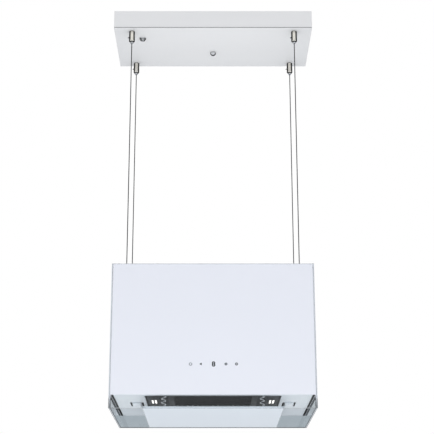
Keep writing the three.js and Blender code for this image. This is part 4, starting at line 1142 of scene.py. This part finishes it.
# One layer of expanded mesh: a diamond net, cut to the pad and given thickness.
def expanded_mesh(level, shift):
    count = round(max(pad_size.x / CELL_WIDTH, pad_size.y / CELL_DEPTH) + 2)
    shape = bmesh.new()
    bmesh.ops.create_grid(shape, x_segments=count, y_segments=count, size=count)
    place = Matrix.Translation((pad_middle.x + shift, pad_middle.y, level))
    stretch = Matrix.Diagonal((CELL_WIDTH, CELL_DEPTH, 1, 1))
    turn = Matrix.Rotation(math.pi / 4, 4, "Z")
    cell = Matrix.Diagonal((math.sqrt(0.5), math.sqrt(0.5), 1, 1))
    bmesh.ops.transform(shape, matrix=place @ stretch @ turn @ cell, verts=shape.verts)
    for way in (X_AXIS, Y_AXIS):
        cut(shape, pad_low, -way, drop=True)
        cut(shape, pad_high, way, drop=True)
    bmesh.ops.wireframe(
        shape, faces=shape.faces[:], thickness=WIRE, use_replace=True, use_boundary=True,
        use_even_offset=True,
    )
    return shape


for layer in range(LAYERS):
    level = pad_low.z + (layer + 0.5) * pad_size.z / LAYERS
    fit(
        f"mesh_layer_{layer + 1}", expanded_mesh(level, layer * CELL_WIDTH / LAYERS),
        "grease_filter", mesh_painted_shade, ["filter_mesh"] if layer == 0 else (),
    )
fit_traced("latch_slide", "filter_latch", "filter_latch", matt_black, LATCH_EDGE)

# ------------------------ Suction panel
# White enamelled glass panel, glued to a zinc carrier that hinges at the rear edge. Air
# goes in past its two sides. Two bent wire catches hold its front edge up.
PANEL_ENAMEL = 0.2 * MM
PANEL_ENAMEL_INSET = 1.5 * MM
HINGE_EDGE = 0.35 * MM
PIN_SHANK = 0.55
PIN_HEAD = 1.5 * MM
PIN_EDGE = 0.5 * MM

panel_glass_low, panel_glass_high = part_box("suction_panel")
suction_shape = bmesh.new()
pane(suction_shape, panel_glass_low, panel_glass_high, ARRIS)
fit("suction_glass", suction_shape, "suction_panel", pane_glass, ["suction_panel"])
inset = Vector((PANEL_ENAMEL_INSET, PANEL_ENAMEL_INSET, 0))
print_low, print_high = panel_glass_low + inset, panel_glass_high - inset
print_low.z = panel_glass_high.z - ENAMEL_BITE
print_high.z = panel_glass_high.z + PANEL_ENAMEL
print_shape = bmesh.new()
block(print_shape, print_low, print_high)
ease(print_shape, print_shape.edges, PANEL_ENAMEL * 0.2, 1)
panel_enamel = finish(
    "panel_enamel", (0.8, 0.865, 0.955), (0.825, 0.87, 0.94), (0.2, 0.26), grain=500, depth=0.004,
    haze=3,
)
fit("suction_enamel", print_shape, "suction_panel", panel_enamel)

fit_traced("panel_backing", "panel_carrier", "suction_panel", zinc, HINGE_EDGE)
for side, _ in SIDES:
    foot, bracket = f"{side}_hinge_foot", f"{side}_hinge_bracket"
    fit_traced(foot, bracket, "hood", bright_steel, HINGE_EDGE)
for side, _ in SIDES:
    node = f"{side}_hinge_pin"
    low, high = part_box(node)
    centre = Vector((0, (low.y + high.y) / 2, (low.z + high.z) / 2))
    head = (high.z - low.z) / 2
    shank = head * PIN_SHANK
    pin = [
        (0, low.x), (head - PIN_EDGE, low.x), (head, low.x + PIN_EDGE), (head, low.x + PIN_HEAD),
        (shank, low.x + PIN_HEAD), (shank, high.x - PIN_HEAD), (head, high.x - PIN_HEAD),
        (head, high.x - PIN_EDGE), (head - PIN_EDGE, high.x), (0, high.x),
    ]
    fit(
        f"{side}_hinge_rivet", turned(pin, centre, X_AXIS, 32), "suction_panel",
        bright_steel, [node], TURNED_CREASE,
    )

# ------------------------ Panel catches
# Spring wire, 2.2 mm, bent to and fro, fixed under the tray's front lip. Its last bend
# snaps over the panel's backing.
CATCH_WIRE = 1.1 * MM
CATCH_SWING = 6.5 * MM
CATCH_BENDS = 2.5
CATCH_POINTS = 72
for side, _ in SIDES:
    node = f"{side}_panel_catch"
    low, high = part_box(node)
    wire = bpy.data.curves.new(f"{side}_catch_wire", "CURVE")
    wire.dimensions = "3D"
    wire.bevel_depth = CATCH_WIRE
    wire.bevel_resolution = 3
    wire.use_fill_caps = True
    line = wire.splines.new("POLY")
    line.points.add(CATCH_POINTS)
    middle = (low + high) / 2
    for i, point in enumerate(line.points):
        share = i / CATCH_POINTS
        across = middle.x + CATCH_SWING * math.sin(share * CATCH_BENDS * 2 * math.pi)
        up = low.z + CATCH_WIRE + share * (high.z - low.z - 2 * CATCH_WIRE)
        point.co = (across, middle.y, up, 1)
    former = bpy.data.objects.new("wire_former", wire)
    scene.collection.objects.link(former)
    bpy.context.view_layer.update()
    drawn = former.evaluated_get(bpy.context.evaluated_depsgraph_get())
    bent = bpy.data.meshes.new_from_object(drawn)
    bpy.data.objects.remove(former)
    catch_shape = bmesh.new()
    catch_shape.from_mesh(bent)
    bpy.data.meshes.remove(bent)
    weld(catch_shape, TURNED_MERGE)
    face_out(catch_shape)
    fit(f"{side}_catch_wire", catch_shape, "hood", bright_steel, [node], 40)

# ------------------------ Blower
# Zinc-coated scroll with a moulded impeller that blows both ways in, a motor on three
# arms, and a charcoal cartridge twisted onto each inlet. The control box is moulded.
CASE_ROUND = 1.5 * MM
impeller_plastic = finish(
    "impeller_plastic", (0.2, 0.205, 0.21), (0.16, 0.165, 0.17), (0.45, 0.6), grain=1200
)
motor_paint = finish("motor_paint", (0.33, 0.34, 0.35), (0.27, 0.28, 0.29), (0.35, 0.5))
granules = finish(
    "charcoal_granules", (0.05, 0.052, 0.055), (0.02, 0.021, 0.022), (0.7, 0.95), grain=420,
    depth=0.6, haze=60,
)
dress("blower_housing", zinc)
dress("impeller", impeller_plastic)
dress("blower_motor", motor_paint)
for side, _ in SIDES:
    dress(f"{side}_charcoal_filter", granules)
fit_traced("control_case", "control_box", "hood", lamp_black, CASE_ROUND, 3)
